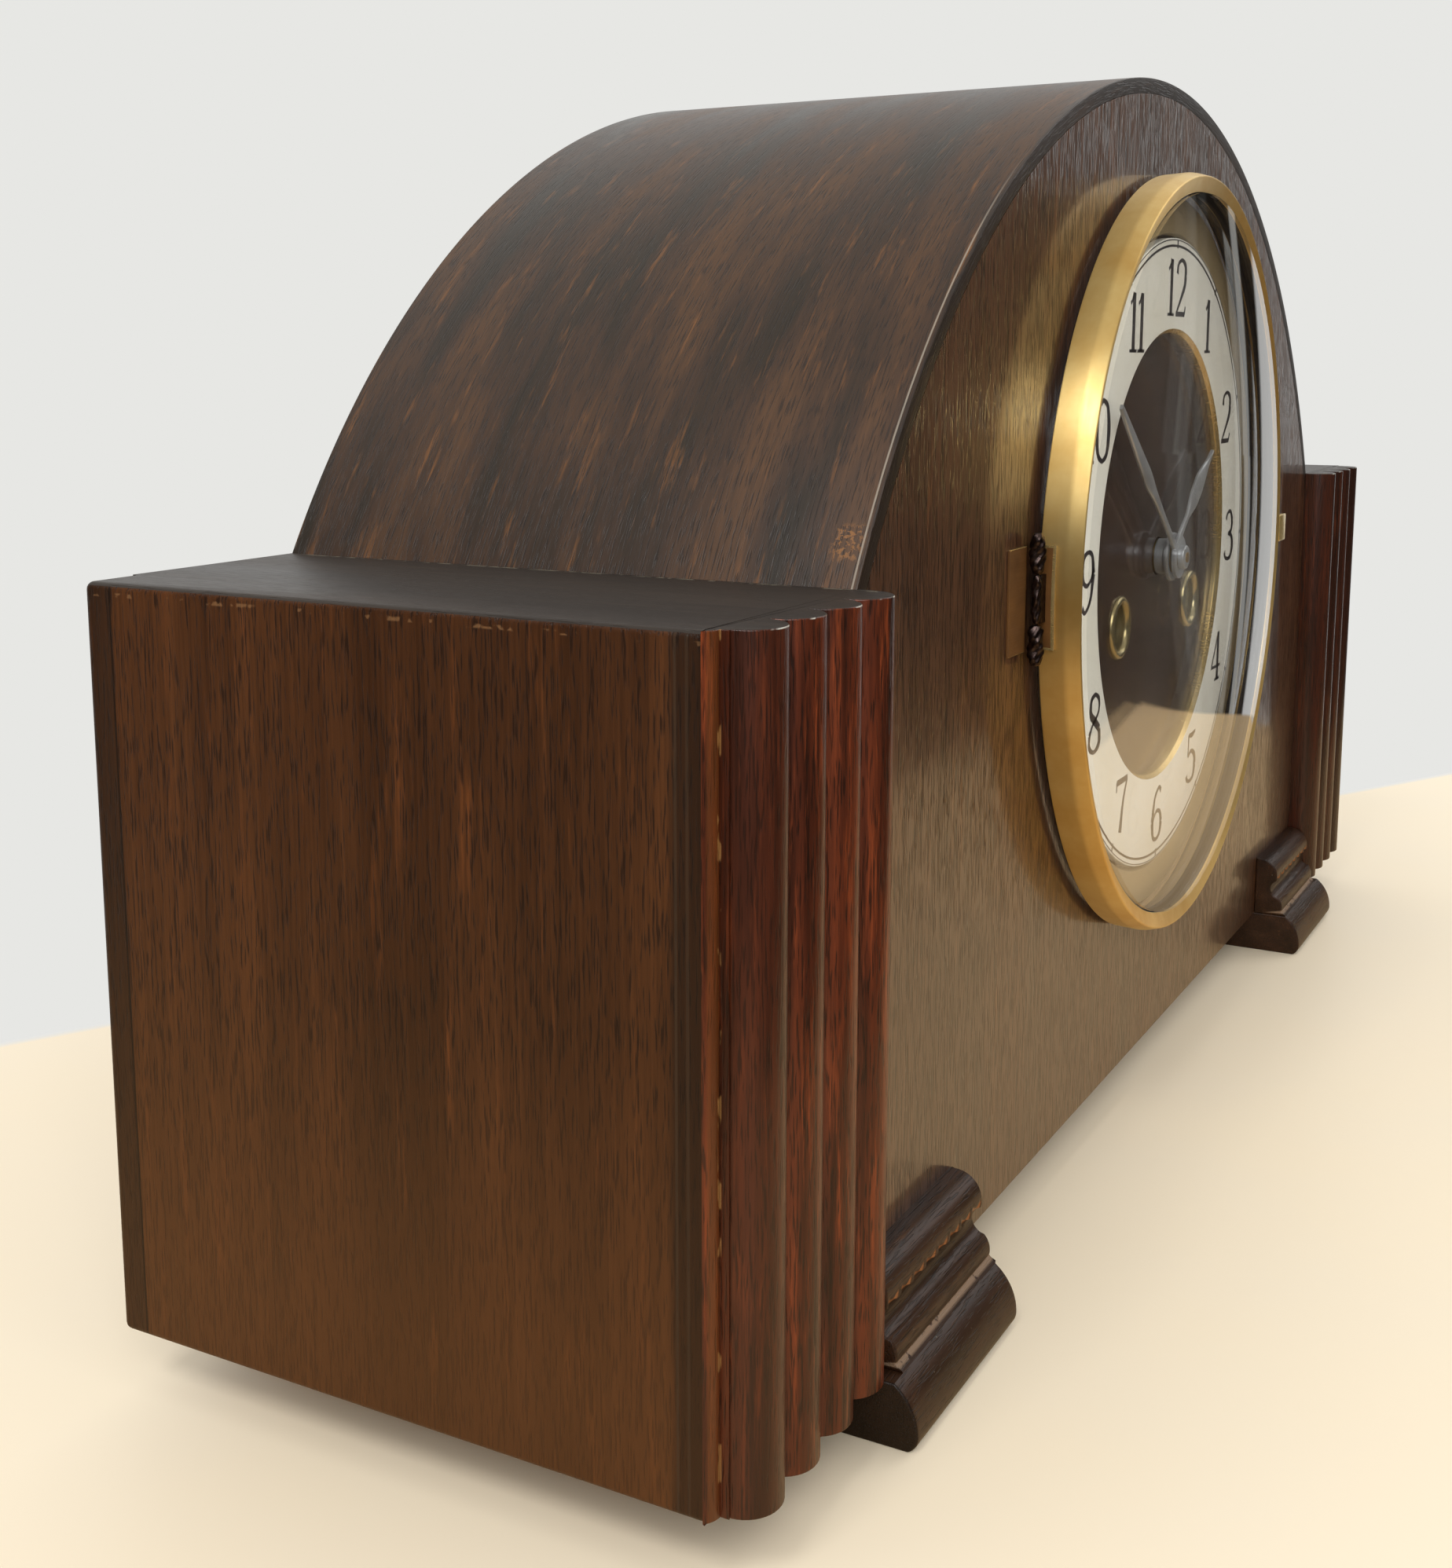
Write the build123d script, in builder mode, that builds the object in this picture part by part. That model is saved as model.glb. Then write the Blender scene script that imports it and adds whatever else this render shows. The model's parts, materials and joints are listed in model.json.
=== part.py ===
# Tambour mantel clock: veneered wooden case, hinged brass bezel, eight-day striking movement
# Millimetres, +Z up. The origin is on the floor, under the middle of the clock.
# The dial faces -Y, and depths are measured back from the front panel's face.
import os
from math import acos, atan2, cos, degrees, hypot, pi, radians, sin, sqrt, tan

from build123d import *

os.makedirs("parts", exist_ok=True)

# Case
case_width = 400.0
case_depth = 105.4
shoulder_height = 119.4
arch_height = 208.2
shoulder_width = 45.8
panel_thickness = 12.0
side_thickness = 10.0
shoulder_thickness = 9.0
shell_thickness = 3.0
base_thickness = 12.0
back_thickness = 8.0
back_recess = 4.0
edge_round = 0.8
dial_height = 110.0
movement_opening_radius = 74.0

# Reeded pilasters
pilaster_width = 46.5
pilaster_projection = 7.4
reed_count = 4
reed_depth = 4.8
reed_quirk = 0.4
corner_bead_width = 2.5
corner_bead_rise = 1.3

# Feet
foot_height = 10.5
foot_width = 40.1
foot_gap = 0.4
foot_heel = 3.4
front_foot_depth = 40.0
rear_foot_depth = 34.0
rear_foot_width = 43.0
foot_crown = 15.5
foot_reach = 12.5

# Bezel, glass and dial
bezel_radius = 80.0
bezel_rear_radius = 78.1
bezel_lip_radius = 75.9
bezel_bore_radius = 77.2
bezel_front = 9.4
bezel_shoulder = 8.0
bezel_lip_back = 7.2
bezel_lip_front = 8.5
bezel_rear = 1.4
bezel_nose = 0.9
glass_clearance = 0.3
glass_gap = 0.2
glass_thickness = 1.8
dome_rise = 3.8
tab_width = 6.6
tab_reach = 3.9
tab_thickness = 2.6
tab_drop = 0.1
tab_round = 0.6
dial_radius = 76.4
dial_thickness = 0.6
margin_outer = 75.4
margin_inner = 67.4
margin_height = 1.3
chapter_outer = 66.9
chapter_inner = 47.4
chapter_height = 1.9
chapter_bevel = 0.9
winding_x = 27.0
winding_drop = 12.3
eyelet_radius = 6.6
eyelet_barrel = 5.4
eyelet_bore = 4.7
eyelet_height = 0.9
dial_centre_hole = 4.2

# Bezel hinge
hinge_offset = 3.0
hinge_length = 18.8
hinge_barrel = 1.6
hinge_pin = 0.7
hinge_running = 0.05
hinge_joint_gap = 0.3
hinge_leaf_thickness = 0.7
hinge_leaf_width = 9.0
bezel_leaf_depth = 4.4

# Hands
minute_hand_length = 56.0
hour_hand_length = 37.5
hand_thickness = 0.8
minute_hub = 4.6
hour_hub = 5.2
minute_swell = 2.3
hour_swell = 2.9
hand_neck = 0.75
hand_tip = 0.3
minute_hand_angle = 306.0
hour_hand_angle = 55.5
nut_radius = 2.6
nut_height = 1.4

# Movement plates
strap_thickness = 1.5
strap_width = 9.0
strap_reach = 89.0
strap_screw_radius = 81.5
plate_thickness = 2.0
plate_gap = 34.0
plate_half_width = 57.0
plate_top = 57.0
plate_bottom = 41.0
plate_round = 6.0
pillar_radius = 3.0
pillar_x = 50.0
pillar_top = 51.0
pillar_bottom = 35.0
screw_radius = 1.5
screw_head_radius = 3.0
screw_head_height = 1.6
screw_length = 9.0

# Arbors and fits
arbor_radius = 1.1
running = 0.05
seat = 0.02
hammer_arbor_radius = 1.0
winding_arbor_radius = 3.0
winding_square = 4.0
winding_hub_radius = 6.0

# Toothed wheels, counts first
great_teeth = 84
second_pinion_leaves = 12
second_teeth = 70
centre_pinion_leaves = 10
centre_teeth = 96
third_pinion_leaves = 8
third_teeth = 88
escape_pinion_leaves = 8
escape_teeth = 41
cannon_leaves = 12
minute_teeth = 36
minute_pinion_leaves = 10
hour_teeth = 40
strike_second_teeth = 60
pin_pinion_leaves = 8
pin_teeth = 56
fly_leaves = 8
great_module = 0.6
second_module = 0.55
train_module = 0.4
cannon_module = 0.75
strike_module = 0.45
pressure_angle = 25.0
tooth_width_share = 0.44
wheel_tip_share = 0.6
leaf_tip_share = 0.75
root_share = 1.0
leaf_root_share = 0.75
wheel_thickness = 1.2
great_thickness = 2.0
pinion_length = 2.8
long_pinion_length = 4.0
escape_radius = 12.5
escape_rise = 34.0
escape_tooth_height = 2.6
crossing_count = 5
crossing_rim = 2.2
crossing_hub = 3.6
crossing_arm = 2.4

# Levels of the wheels behind the front plate
centre_wheel_level = 1.2
third_pinion_level = 0.8
great_level = 4.0
second_pinion_level = 3.0
drum_level = 6.0
drum_length = 20.0
second_wheel_level = 28.2
centre_pinion_level = 27.2
third_wheel_level = 31.4
escape_pinion_level = 30.6
escape_wheel_level = 22.0
pin_wheel_level = 12.0
fly_pinion_level = 11.2
vane_level = 17.0

# Depths of the motion work, between dial and front plate
cannon_back = 11.5
minute_wheel_back = 10.2
minute_pinion_back = 9.0
hour_wheel_back = 7.0
snail_back = 5.0
snail_thickness = 1.4
snail_radius = 12.0
snail_least = 6.0
snail_steps = 12
cannon_pipe_radius = 2.2
hour_pipe_radius = 3.4
hour_hand_gap = 0.9
hand_spacing = 0.6
pipe_overrun = 0.2
square_front = 2.0
ratchet_back = 12.2
ratchet_thickness = 1.8
ratchet_radius = 9.0
ratchet_root = 7.6
ratchet_teeth = 24
click_pivot_x = 9.5
click_pivot_z = 9.5
click_pivot_radius = 1.2
click_hub = 2.6
click_nose_angle = 105.0
click_nose_clear = 0.35
click_undercut = 1.2
click_thickness_at_nose = 2.6
minute_post_radius = 1.5

# Barrels
drum_radius = 22.0
drum_wall = 1.0
spring_thickness = 0.5
spring_turns = 7
spring_hub_gap = 0.6
spring_wall_gap = 0.5
spring_end_gap = 1.0

# Escapement and pendulum
pallet_half_angle = 40.0
pallet_clearance = 0.35
pallet_hub = 3.0
pallet_arm = 2.2
pallet_nib = 0.8
pallet_thickness = 2.0
pallet_drop = 3.4
crutch_gap = 1.2
crutch_length = 25.0
crutch_width = 2.4
crutch_thickness = 1.2
fork_reach = 7.0
fork_prong = 1.0
pendulum_floor_gap = 11.8
pendulum_depth = 6.5
rod_radius = 1.0
rod_top = 5.5
rod_tail = 26.5
bob_radius = 20.0
bob_thickness = 9.0
bob_rim = 2.0
nut_outer = 4.2
nut_thickness = 3.0
nut_gap = 0.3
suspension_width = 4.0
suspension_thickness = 0.3
suspension_top = 5.7
cock_width = 10.0
cock_rise = 3.2
cock_height = 7.0
cock_depth = 10.0
cock_slot = 1.4
cock_slot_height = 3.4

# Striking
strike_second_angle = 116.8
pin_wheel_angle = 58.5
fly_angle = 119.6
pin_count = 8
pin_circle = 10.0
pin_radius = 0.8
pin_length = 3.6
vane_radius = 9.0
vane_length = 12.0
vane_thickness = 0.6
hammer_x = -52.0
hammer_z = 2.0
hammer_tail_x = 7.5
hammer_tail_z = 24.4
hammer_tail_level = 8.8
hammer_tail_thickness = 2.6
hammer_tail_width = 2.4
hammer_arm_thickness = 2.0
hammer_arm_width = 3.0
hammer_hub = 3.0
hammer_head_x = 45.0
hammer_head_radius = 5.0
hammer_head_height = 12.0
hammer_rest_gap = 0.3
rod_gap = 5.0
gong_rod_radius = 1.2
gong_rod_height = 34.0
gong_rod_end = 60.0
gong_block_width = 20.0
gong_block_depth = 12.0
gong_block_height = 34.0
gong_block_inset = 50.0

# Back door
door_width = 150.0
door_bottom = 22.0
door_headroom = 36.2
door_gap = 0.8
door_hinge_length = 22.0
door_hinge_spacing = 70.0
door_leaf_width = 10.0
door_leaf_thickness = 0.8
door_barrel = 1.6
button_length = 24.0
button_width = 8.0
button_thickness = 2.0
button_gap = 0.3
button_pin = 1.5
button_offset = 8.0

# Worked out from the sizes above
front_y = foot_reach - (foot_reach + case_depth) / 2
dial_z = foot_height + dial_height
arch_half_width = case_width / 2 - shoulder_width
arch_sagitta = arch_height - shoulder_height
arch_radius = (arch_half_width**2 + arch_sagitta**2) / (2 * arch_sagitta)
arch_centre = arch_height - arch_radius
inner_width = case_width - 2 * side_thickness
shoulder_under = shoulder_height - shoulder_thickness
strap_back = panel_thickness + strap_thickness
plate_inner = strap_back + plate_thickness
rear_plate_inner = plate_inner + plate_gap
rear_plate_back = rear_plate_inner + plate_thickness
hour_module = cannon_module * (cannon_leaves + minute_teeth) / (minute_pinion_leaves + hour_teeth)


def pitch_radius(teeth, module_size):
    return teeth * module_size / 2


def polar(start, distance, angle):
    return start[0] + distance * cos(radians(angle)), start[1] + distance * sin(radians(angle))


def meeting(first, first_reach, second, second_reach):
    """The point at both reaches from two centres, on the left of the way from first to second."""
    run = (second[0] - first[0], second[1] - first[1])
    span = hypot(*run)
    along = (first_reach**2 - second_reach**2 + span**2) / (2 * span)
    aside = sqrt(first_reach**2 - along**2)
    unit = (run[0] / span, run[1] / span)
    return (
        first[0] + along * unit[0] - aside * unit[1],
        first[1] + along * unit[1] + aside * unit[0],
    )


# Arbor places, across and up from the dial's centre
centre_at = (0, 0)
time_at = (winding_x, -winding_drop)
strike_at = (-winding_x, -winding_drop)
second_at = meeting(
    centre_at,
    pitch_radius(second_teeth + centre_pinion_leaves, second_module),
    time_at,
    pitch_radius(great_teeth + second_pinion_leaves, great_module),
)
escape_at = (0, escape_rise)
third_at = meeting(
    centre_at,
    pitch_radius(centre_teeth + third_pinion_leaves, train_module),
    escape_at,
    pitch_radius(third_teeth + escape_pinion_leaves, train_module),
)
pallet_at = (0, escape_rise + escape_radius / cos(radians(pallet_half_angle)))
minute_at = (0, -pitch_radius(cannon_leaves + minute_teeth, cannon_module))
strike_second_at = polar(
    strike_at, pitch_radius(great_teeth + second_pinion_leaves, great_module), strike_second_angle
)
pin_at = polar(
    strike_second_at,
    pitch_radius(strike_second_teeth + pin_pinion_leaves, strike_module),
    pin_wheel_angle,
)
fly_at = polar(pin_at, pitch_radius(pin_teeth + fly_leaves, strike_module), fly_angle)
hammer_at = (hammer_x, hammer_z)


def facing(back, place=(0, 0)):
    """A plane that faces the viewer at a depth, its origin at a place counted from the dial's centre."""
    return Plane(
        origin=(place[0], front_y + back, dial_z + place[1]), x_dir=(1, 0, 0), z_dir=(0, -1, 0)
    )


def case_facing(back):
    """A plane that faces the viewer at a depth, its origin at the middle of the case's underside."""
    return Plane(origin=(0, front_y + back, foot_height), x_dir=(1, 0, 0), z_dir=(0, -1, 0))


def finish(piece, name):
    piece.part.label = name
    export_step(piece.part, f"parts/{name}.step")


def disc(plane, radius, thickness, bore=0):
    """Adds a round plate from the plane towards the viewer."""
    with BuildSketch(plane) as outline:
        Circle(radius)
        if bore:
            Circle(bore, mode=Mode.SUBTRACT)
    extrude(outline.sketch, amount=thickness)


def bore_through(places, radius, back, thickness):
    """Cuts a round hole at each place, from a depth towards the viewer."""
    for place in places:
        with BuildSketch(facing(back, place)) as outline:
            Circle(radius)
        extrude(outline.sketch, amount=thickness, mode=Mode.SUBTRACT)


def tooth_points(teeth, module_size, phase, tip_share, foot_share):
    """Corners of a toothed ring: each tooth narrows from root to tip as an involute tooth does."""
    pitch = pitch_radius(teeth, module_size)
    base = pitch * cos(radians(pressure_angle))
    tip = pitch + tip_share * module_size
    root = pitch - root_share * module_size
    opening = tan(radians(pressure_angle)) - radians(pressure_angle)
    halves = []
    for radius in (tip, root):
        slope = acos(min(1, base / radius))
        halves.append(tooth_width_share * pi / teeth + opening - (tan(slope) - slope))
    tip_half = halves[0]
    root_half = foot_share * halves[1]
    points = []
    for tooth in range(teeth):
        middle = radians(phase) + tooth * 2 * pi / teeth
        for radius, turn in ((root, -root_half), (tip, -tip_half), (tip, tip_half), (root, root_half)):
            points.append((radius * cos(middle + turn), radius * sin(middle + turn)))
    return points


def toothed(plane, thickness, teeth, module_size, phase, leaf=False):
    """Adds a wheel's toothed ring or a pinion's leaves."""
    tip_share = leaf_tip_share if leaf else wheel_tip_share
    foot_share = leaf_root_share if leaf else 1
    with BuildSketch(plane) as outline:
        with BuildLine() as edge:
            Polyline(*tooth_points(teeth, module_size, phase, tip_share, foot_share), close=True)
        make_face(edge.line)
    extrude(outline.sketch, amount=thickness)


def crossed_out(back, place, rim_radius, thickness):
    """Cuts the openings between a wheel's spokes."""
    outer = rim_radius - crossing_rim
    with BuildSketch(facing(back, place)) as openings:
        Circle(outer)
        Circle(crossing_hub, mode=Mode.SUBTRACT)
        with PolarLocations(0, crossing_count):
            Rectangle(outer * 2, crossing_arm, align=(Align.MIN, Align.CENTER), mode=Mode.SUBTRACT)
    extrude(openings.sketch, amount=thickness, mode=Mode.SUBTRACT)


def mating_phase(phase, teeth, mate_teeth, start, end):
    """Where a tooth of the mate lies, so that its gap takes the tooth of the wheel at start."""
    line = degrees(atan2(end[1] - start[1], end[0] - start[0]))
    pitch = 360 / teeth
    mate_pitch = 360 / mate_teeth
    past = ((line - phase) % pitch) / pitch
    return line + 180 + past * mate_pitch + mate_pitch / 2


def inner_back(level, thickness):
    """Depth of the back of something that starts at a level behind the front plate."""
    return plate_inner + level + thickness


def arbor(place, radius=arbor_radius, front=strap_back, back=rear_plate_back):
    """Adds a round arbor between two depths."""
    disc(facing(back, place), radius, back - front)


# Front panel: arched board with the round movement opening and pilot holes for the strap screws
pillar_places = (
    (pillar_x, pillar_top),
    (-pillar_x, pillar_top),
    (-pillar_x, -pillar_bottom),
    (pillar_x, -pillar_bottom),
)
strap_angles = [degrees(atan2(up, across)) for across, up in pillar_places]
strap_screws = [polar(centre_at, strap_screw_radius, angle) for angle in strap_angles]
inner_arch_radius = arch_radius - shell_thickness
arch_foot = sqrt(inner_arch_radius**2 - (shoulder_under - arch_centre) ** 2)


def arched_board():
    """Draws the outline that fills the case between the sides, under the shoulders and the arch."""
    half = inner_width / 2
    with BuildLine() as edge:
        Polyline(
            (-arch_foot, shoulder_under),
            (-half, shoulder_under),
            (-half, 0),
            (half, 0),
            (half, shoulder_under),
            (arch_foot, shoulder_under),
        )
        ThreePointArc(
            (arch_foot, shoulder_under),
            (0, arch_centre + inner_arch_radius),
            (-arch_foot, shoulder_under),
        )
    make_face(edge.line)


with BuildPart() as front_panel:
    with BuildSketch(case_facing(panel_thickness)):
        arched_board()
        with Locations((0, dial_height)):
            Circle(movement_opening_radius, mode=Mode.SUBTRACT)
    extrude(amount=panel_thickness)
    bore_through(strap_screws, screw_radius + seat, panel_thickness, screw_length)
finish(front_panel, "front_panel")

# Back panel: set in from the case's rear edge, with an arched service opening
back_face = case_depth - back_recess
door_top = arch_height - door_headroom
door_half = door_width / 2
door_spring = door_top - door_half
button_at = (-door_half - button_offset, (door_bottom + door_top) / 2 - dial_height)


def door_outline(inset):
    """Draws the arched service opening, or the door when the inset is its gap."""
    half = door_half - inset
    with BuildLine() as edge:
        Polyline(
            (-half, door_spring),
            (-half, door_bottom + inset),
            (half, door_bottom + inset),
            (half, door_spring),
        )
        ThreePointArc((half, door_spring), (0, door_spring + half), (-half, door_spring))
    make_face(edge.line)


with BuildPart() as back_panel:
    with BuildSketch(case_facing(back_face)):
        arched_board()
    extrude(amount=back_thickness)
    with BuildSketch(case_facing(back_face)) as opening:
        door_outline(0)
    extrude(opening.sketch, amount=back_thickness, mode=Mode.SUBTRACT)
    bore_through([button_at], button_pin + running, back_face, back_thickness)
finish(back_panel, "back_panel")

# Base board between the two panels
base_length = back_face - back_thickness - panel_thickness
with BuildPart() as base_board:
    with BuildSketch(Plane.XY.offset(foot_height)):
        with Locations((0, front_y + panel_thickness + base_length / 2)):
            Rectangle(inner_width, base_length)
    extrude(amount=base_thickness)
finish(base_board, "base_board")

# Side panels and flat shoulder tops
for side, side_name in ((-1, "left"), (1, "right")):
    with BuildPart() as side_panel:
        with BuildSketch(Plane.XY.offset(foot_height)):
            with Locations((side * (case_width - side_thickness) / 2, front_y + case_depth / 2)):
                Rectangle(side_thickness, case_depth)
        extrude(amount=shoulder_height)
        outside = side_panel.edges().filter_by(Axis.Z).filter_by(
            lambda edge: abs(edge.center().X) > (case_width - side_thickness) / 2 and edge.center().Y > 0
        )
        fillet(outside, edge_round)
    finish(side_panel, f"{side_name}_side_panel")

    with BuildPart() as shoulder_top:
        with BuildSketch(case_facing(case_depth)):
            with Locations((side * inner_width / 2, shoulder_under)):
                toward = Align.MAX if side > 0 else Align.MIN
                Rectangle(inner_width / 2, shoulder_thickness, align=(toward, Align.MIN))
            with Locations((0, arch_centre)):
                Circle(arch_radius, mode=Mode.SUBTRACT)
        extrude(amount=case_depth)
    finish(shoulder_top, f"{side_name}_shoulder_top")

# Bent arch shell
with BuildPart() as arch_shell:
    with BuildSketch(case_facing(case_depth)):
        with Locations((0, arch_centre)):
            Circle(arch_radius)
            Circle(inner_arch_radius, mode=Mode.SUBTRACT)
        with Locations((0, shoulder_under)):
            Rectangle(2 * arch_radius, 2 * arch_radius, align=(Align.CENTER, Align.MAX), mode=Mode.SUBTRACT)
    extrude(amount=case_depth)
finish(arch_shell, "arch_shell")

# Reeded pilasters: equal beads with a narrow quirk between them and a low half bead at the corner
reed_width = (pilaster_width - corner_bead_width) / reed_count
reed_valley = pilaster_projection - reed_depth


def pilaster_outline(side):
    """Draws the moulding's cut end, seen from above, from the inner edge outwards."""
    inner = case_width / 2 - pilaster_width
    with BuildLine() as edge:
        Polyline(
            (side * (case_width / 2), front_y),
            (side * inner, front_y),
            (side * inner, front_y - reed_valley),
        )
        for reed in range(reed_count):
            start = inner + reed * reed_width
            end = start + reed_width
            crown_end = end - reed_quirk
            ThreePointArc(
                (side * start, front_y - reed_valley),
                (side * (start + crown_end) / 2, front_y - pilaster_projection),
                (side * crown_end, front_y - reed_valley),
            )
            Line((side * crown_end, front_y - reed_valley), (side * end, front_y - reed_valley))
        corner = case_width / 2 - corner_bead_width
        bead_top = front_y - corner_bead_rise
        bead_radius = (corner_bead_width**2 + corner_bead_rise**2) / (2 * corner_bead_rise)
        middle_drop = bead_radius - sqrt(bead_radius**2 - corner_bead_width**2 / 4)
        Line((side * corner, front_y - reed_valley), (side * corner, bead_top))
        ThreePointArc(
            (side * corner, bead_top),
            (side * (corner + corner_bead_width / 2), bead_top + middle_drop),
            (side * case_width / 2, front_y),
        )
    make_face(edge.line)


for side, side_name in ((-1, "left"), (1, "right")):
    with BuildPart() as pilaster:
        with BuildSketch(Plane.XY.offset(foot_height)):
            pilaster_outline(side)
        extrude(amount=shoulder_height)
    finish(pilaster, f"{side_name}_pilaster")

# Moulded front feet: bead, cove and nose over a bullnose that reaches the floor and runs under the pilaster
crown_reach_share = 0.08
bead_reach_share = 0.46
cove_reach_share = 0.34
nose_reach_share = 0.59
step_reach_share = 0.68
toe_reach_share = 0.87
bead_top_share = 0.87
bead_bottom_share = 0.62
cove_share = 0.44
nose_top_share = 0.31
nose_share = 0.2
nose_bottom_share = 0.08
bullnose_share = 0.75
step_end = (-foot_reach * step_reach_share, 0)


def foot_moulding():
    """Draws the side view over the case's underside: depth along x, height along y."""
    with BuildLine() as edge:
        crown = (-foot_reach * crown_reach_share, foot_crown)
        bead_end = (-foot_reach * bead_reach_share, foot_crown * bead_bottom_share)
        cove_end = (-foot_reach * nose_reach_share * bead_top_share, foot_crown * nose_top_share)
        nose_end = (-foot_reach * nose_reach_share, foot_crown * nose_bottom_share)
        bead_middle = (-foot_reach * bead_reach_share * bead_top_share, foot_crown * bead_top_share)
        ThreePointArc(crown, bead_middle, bead_end)
        ThreePointArc(bead_end, (-foot_reach * cove_reach_share, foot_crown * cove_share), cove_end)
        ThreePointArc(cove_end, (-foot_reach * nose_reach_share, foot_crown * nose_share), nose_end)
        Polyline(nose_end, step_end, (0, 0), (0, foot_crown), crown)
    make_face(edge.line)


def foot_bullnose():
    """Draws the side view from the case's underside down to the floor."""
    with BuildLine() as edge:
        bullnose = (-foot_reach, -foot_height * bullnose_share)
        toe = (-foot_reach * toe_reach_share, -foot_height)
        TangentArc(bullnose, step_end, tangent=(0, 1))
        TangentArc(bullnose, toe, tangent=(0, -1))
        Polyline(toe, (front_foot_depth, -foot_height), (front_foot_depth, 0), step_end)
    make_face(edge.line)


def foot_plane(start_x):
    """Stands across the foot at one end, under the front panel's face."""
    return Plane(origin=(start_x, front_y, foot_height), x_dir=(0, 1, 0), z_dir=(1, 0, 0))


foot_outer_edge = case_width / 2 - pilaster_width - foot_gap
foot_inner_edge = foot_outer_edge - foot_width
for side, side_name in ((-1, "left"), (1, "right")):
    moulding_start = foot_inner_edge if side > 0 else -foot_outer_edge
    bullnose_start = foot_inner_edge if side > 0 else -foot_outer_edge - foot_heel
    with BuildPart() as front_foot:
        with BuildSketch(foot_plane(bullnose_start)) as bullnose_face:
            foot_bullnose()
        extrude(bullnose_face.sketch, amount=foot_width + foot_heel)
        with BuildSketch(foot_plane(moulding_start)) as moulding_face:
            foot_moulding()
        extrude(moulding_face.sketch, amount=foot_width)
    finish(front_foot, f"{side_name}_front_foot")

with BuildPart() as rear_feet:
    with BuildSketch():
        foot_middle = (foot_inner_edge + foot_outer_edge) / 2
        rear_foot_y = front_y + case_depth - rear_foot_depth / 2
        with Locations((-foot_middle, rear_foot_y), (foot_middle, rear_foot_y)):
            Rectangle(rear_foot_width, rear_foot_depth)
    extrude(amount=foot_height)
finish(rear_feet, "rear_feet")

# Back door with its hinges and turn button
door_axis_x = door_half + door_gap
door_axis_y = front_y + back_face + door_barrel
hinge_heights = [
    foot_height + (door_bottom + door_spring) / 2 + step * door_hinge_spacing / 2 for step in (-1, 1)
]
knuckle = (door_hinge_length - 2 * hinge_joint_gap) / 3

with BuildPart() as back_door:
    with BuildSketch(case_facing(back_face)) as outline:
        door_outline(door_gap)
    extrude(outline.sketch, amount=back_thickness)
finish(back_door, "back_door")


def door_leaf(direction, spans):
    """Adds each hinge's leaf on one side of the pin, with barrels over the given spans of its height."""
    for middle in hinge_heights:
        bottom = middle - door_hinge_length / 2
        with BuildSketch(Plane.XY.offset(bottom)) as leaf:
            with Locations((door_axis_x + direction * door_barrel, front_y + back_face)):
                near = Align.MIN if direction > 0 else Align.MAX
                Rectangle(door_leaf_width, door_leaf_thickness, align=(near, Align.MIN))
        extrude(leaf.sketch, amount=door_hinge_length)
        for start, length in spans:
            with BuildSketch(Plane.XY.offset(bottom + start)) as barrel:
                with Locations((door_axis_x, door_axis_y)):
                    Circle(door_barrel)
                with Locations((door_axis_x, front_y + back_face)):
                    near = Align.MIN if direction > 0 else Align.MAX
                    Rectangle(door_barrel + door_leaf_thickness, door_leaf_thickness, align=(near, Align.MIN))
            extrude(barrel.sketch, amount=length)


with BuildPart() as door_hinge_frames:
    door_leaf(1, ((0, knuckle), (door_hinge_length - knuckle, knuckle)))
    for middle in hinge_heights:
        with BuildSketch(Plane.XY.offset(middle - door_hinge_length / 2)) as pin:
            with Locations((door_axis_x, door_axis_y)):
                Circle(hinge_pin)
        extrude(pin.sketch, amount=door_hinge_length)
finish(door_hinge_frames, "door_hinge_frames")

with BuildPart() as door_leaves:
    door_leaf(-1, ((knuckle + hinge_joint_gap, knuckle),))
    for middle in hinge_heights:
        with BuildSketch(Plane.XY.offset(middle - door_hinge_length / 2)) as pin:
            with Locations((door_axis_x, door_axis_y)):
                Circle(hinge_pin + hinge_running)
        extrude(pin.sketch, amount=door_hinge_length, mode=Mode.SUBTRACT)
    for middle in hinge_heights:
        for start in (0, door_hinge_length - knuckle - hinge_joint_gap):
            with BuildSketch(Plane.XY.offset(middle - door_hinge_length / 2 + start)) as room:
                with Locations((door_axis_x, door_axis_y)):
                    Circle(door_barrel + hinge_joint_gap)
            extrude(room.sketch, amount=knuckle + hinge_joint_gap, mode=Mode.SUBTRACT)
finish(door_leaves, "door_leaves")

with BuildPart() as turn_button:
    with BuildSketch(facing(back_face + button_gap + button_thickness, button_at)):
        SlotOverall(button_length, button_width, rotation=90)
    extrude(amount=button_thickness)
    disc(facing(back_face + button_gap, button_at), button_pin, back_thickness + button_gap)
finish(turn_button, "turn_button")

# Bezel ring: conical outer wall, rounded ridge, sloping front face and a lip that holds the glass
nose_middle = bezel_nose * (1 - sqrt(1 / 2))
with BuildPart() as bezel_ring:
    with BuildSketch(Plane(origin=(0, front_y, dial_z), x_dir=(1, 0, 0), z_dir=(0, 0, 1))):
        with BuildLine():
            Polyline(
                (bezel_bore_radius, -bezel_rear),
                (bezel_rear_radius, -bezel_rear),
                (bezel_radius, -bezel_shoulder),
            )
            ThreePointArc(
                (bezel_radius, -bezel_shoulder),
                (bezel_radius - nose_middle, -bezel_front + nose_middle),
                (bezel_radius - bezel_nose, -bezel_front),
            )
            Polyline(
                (bezel_radius - bezel_nose, -bezel_front),
                (bezel_lip_radius, -bezel_lip_front),
                (bezel_lip_radius, -bezel_lip_back),
                (bezel_bore_radius, -bezel_lip_back),
                (bezel_bore_radius, -bezel_rear),
            )
        make_face()
    dial_axis = Axis((0, front_y, dial_z), (0, 1, 0))
    revolve(axis=dial_axis)
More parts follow.
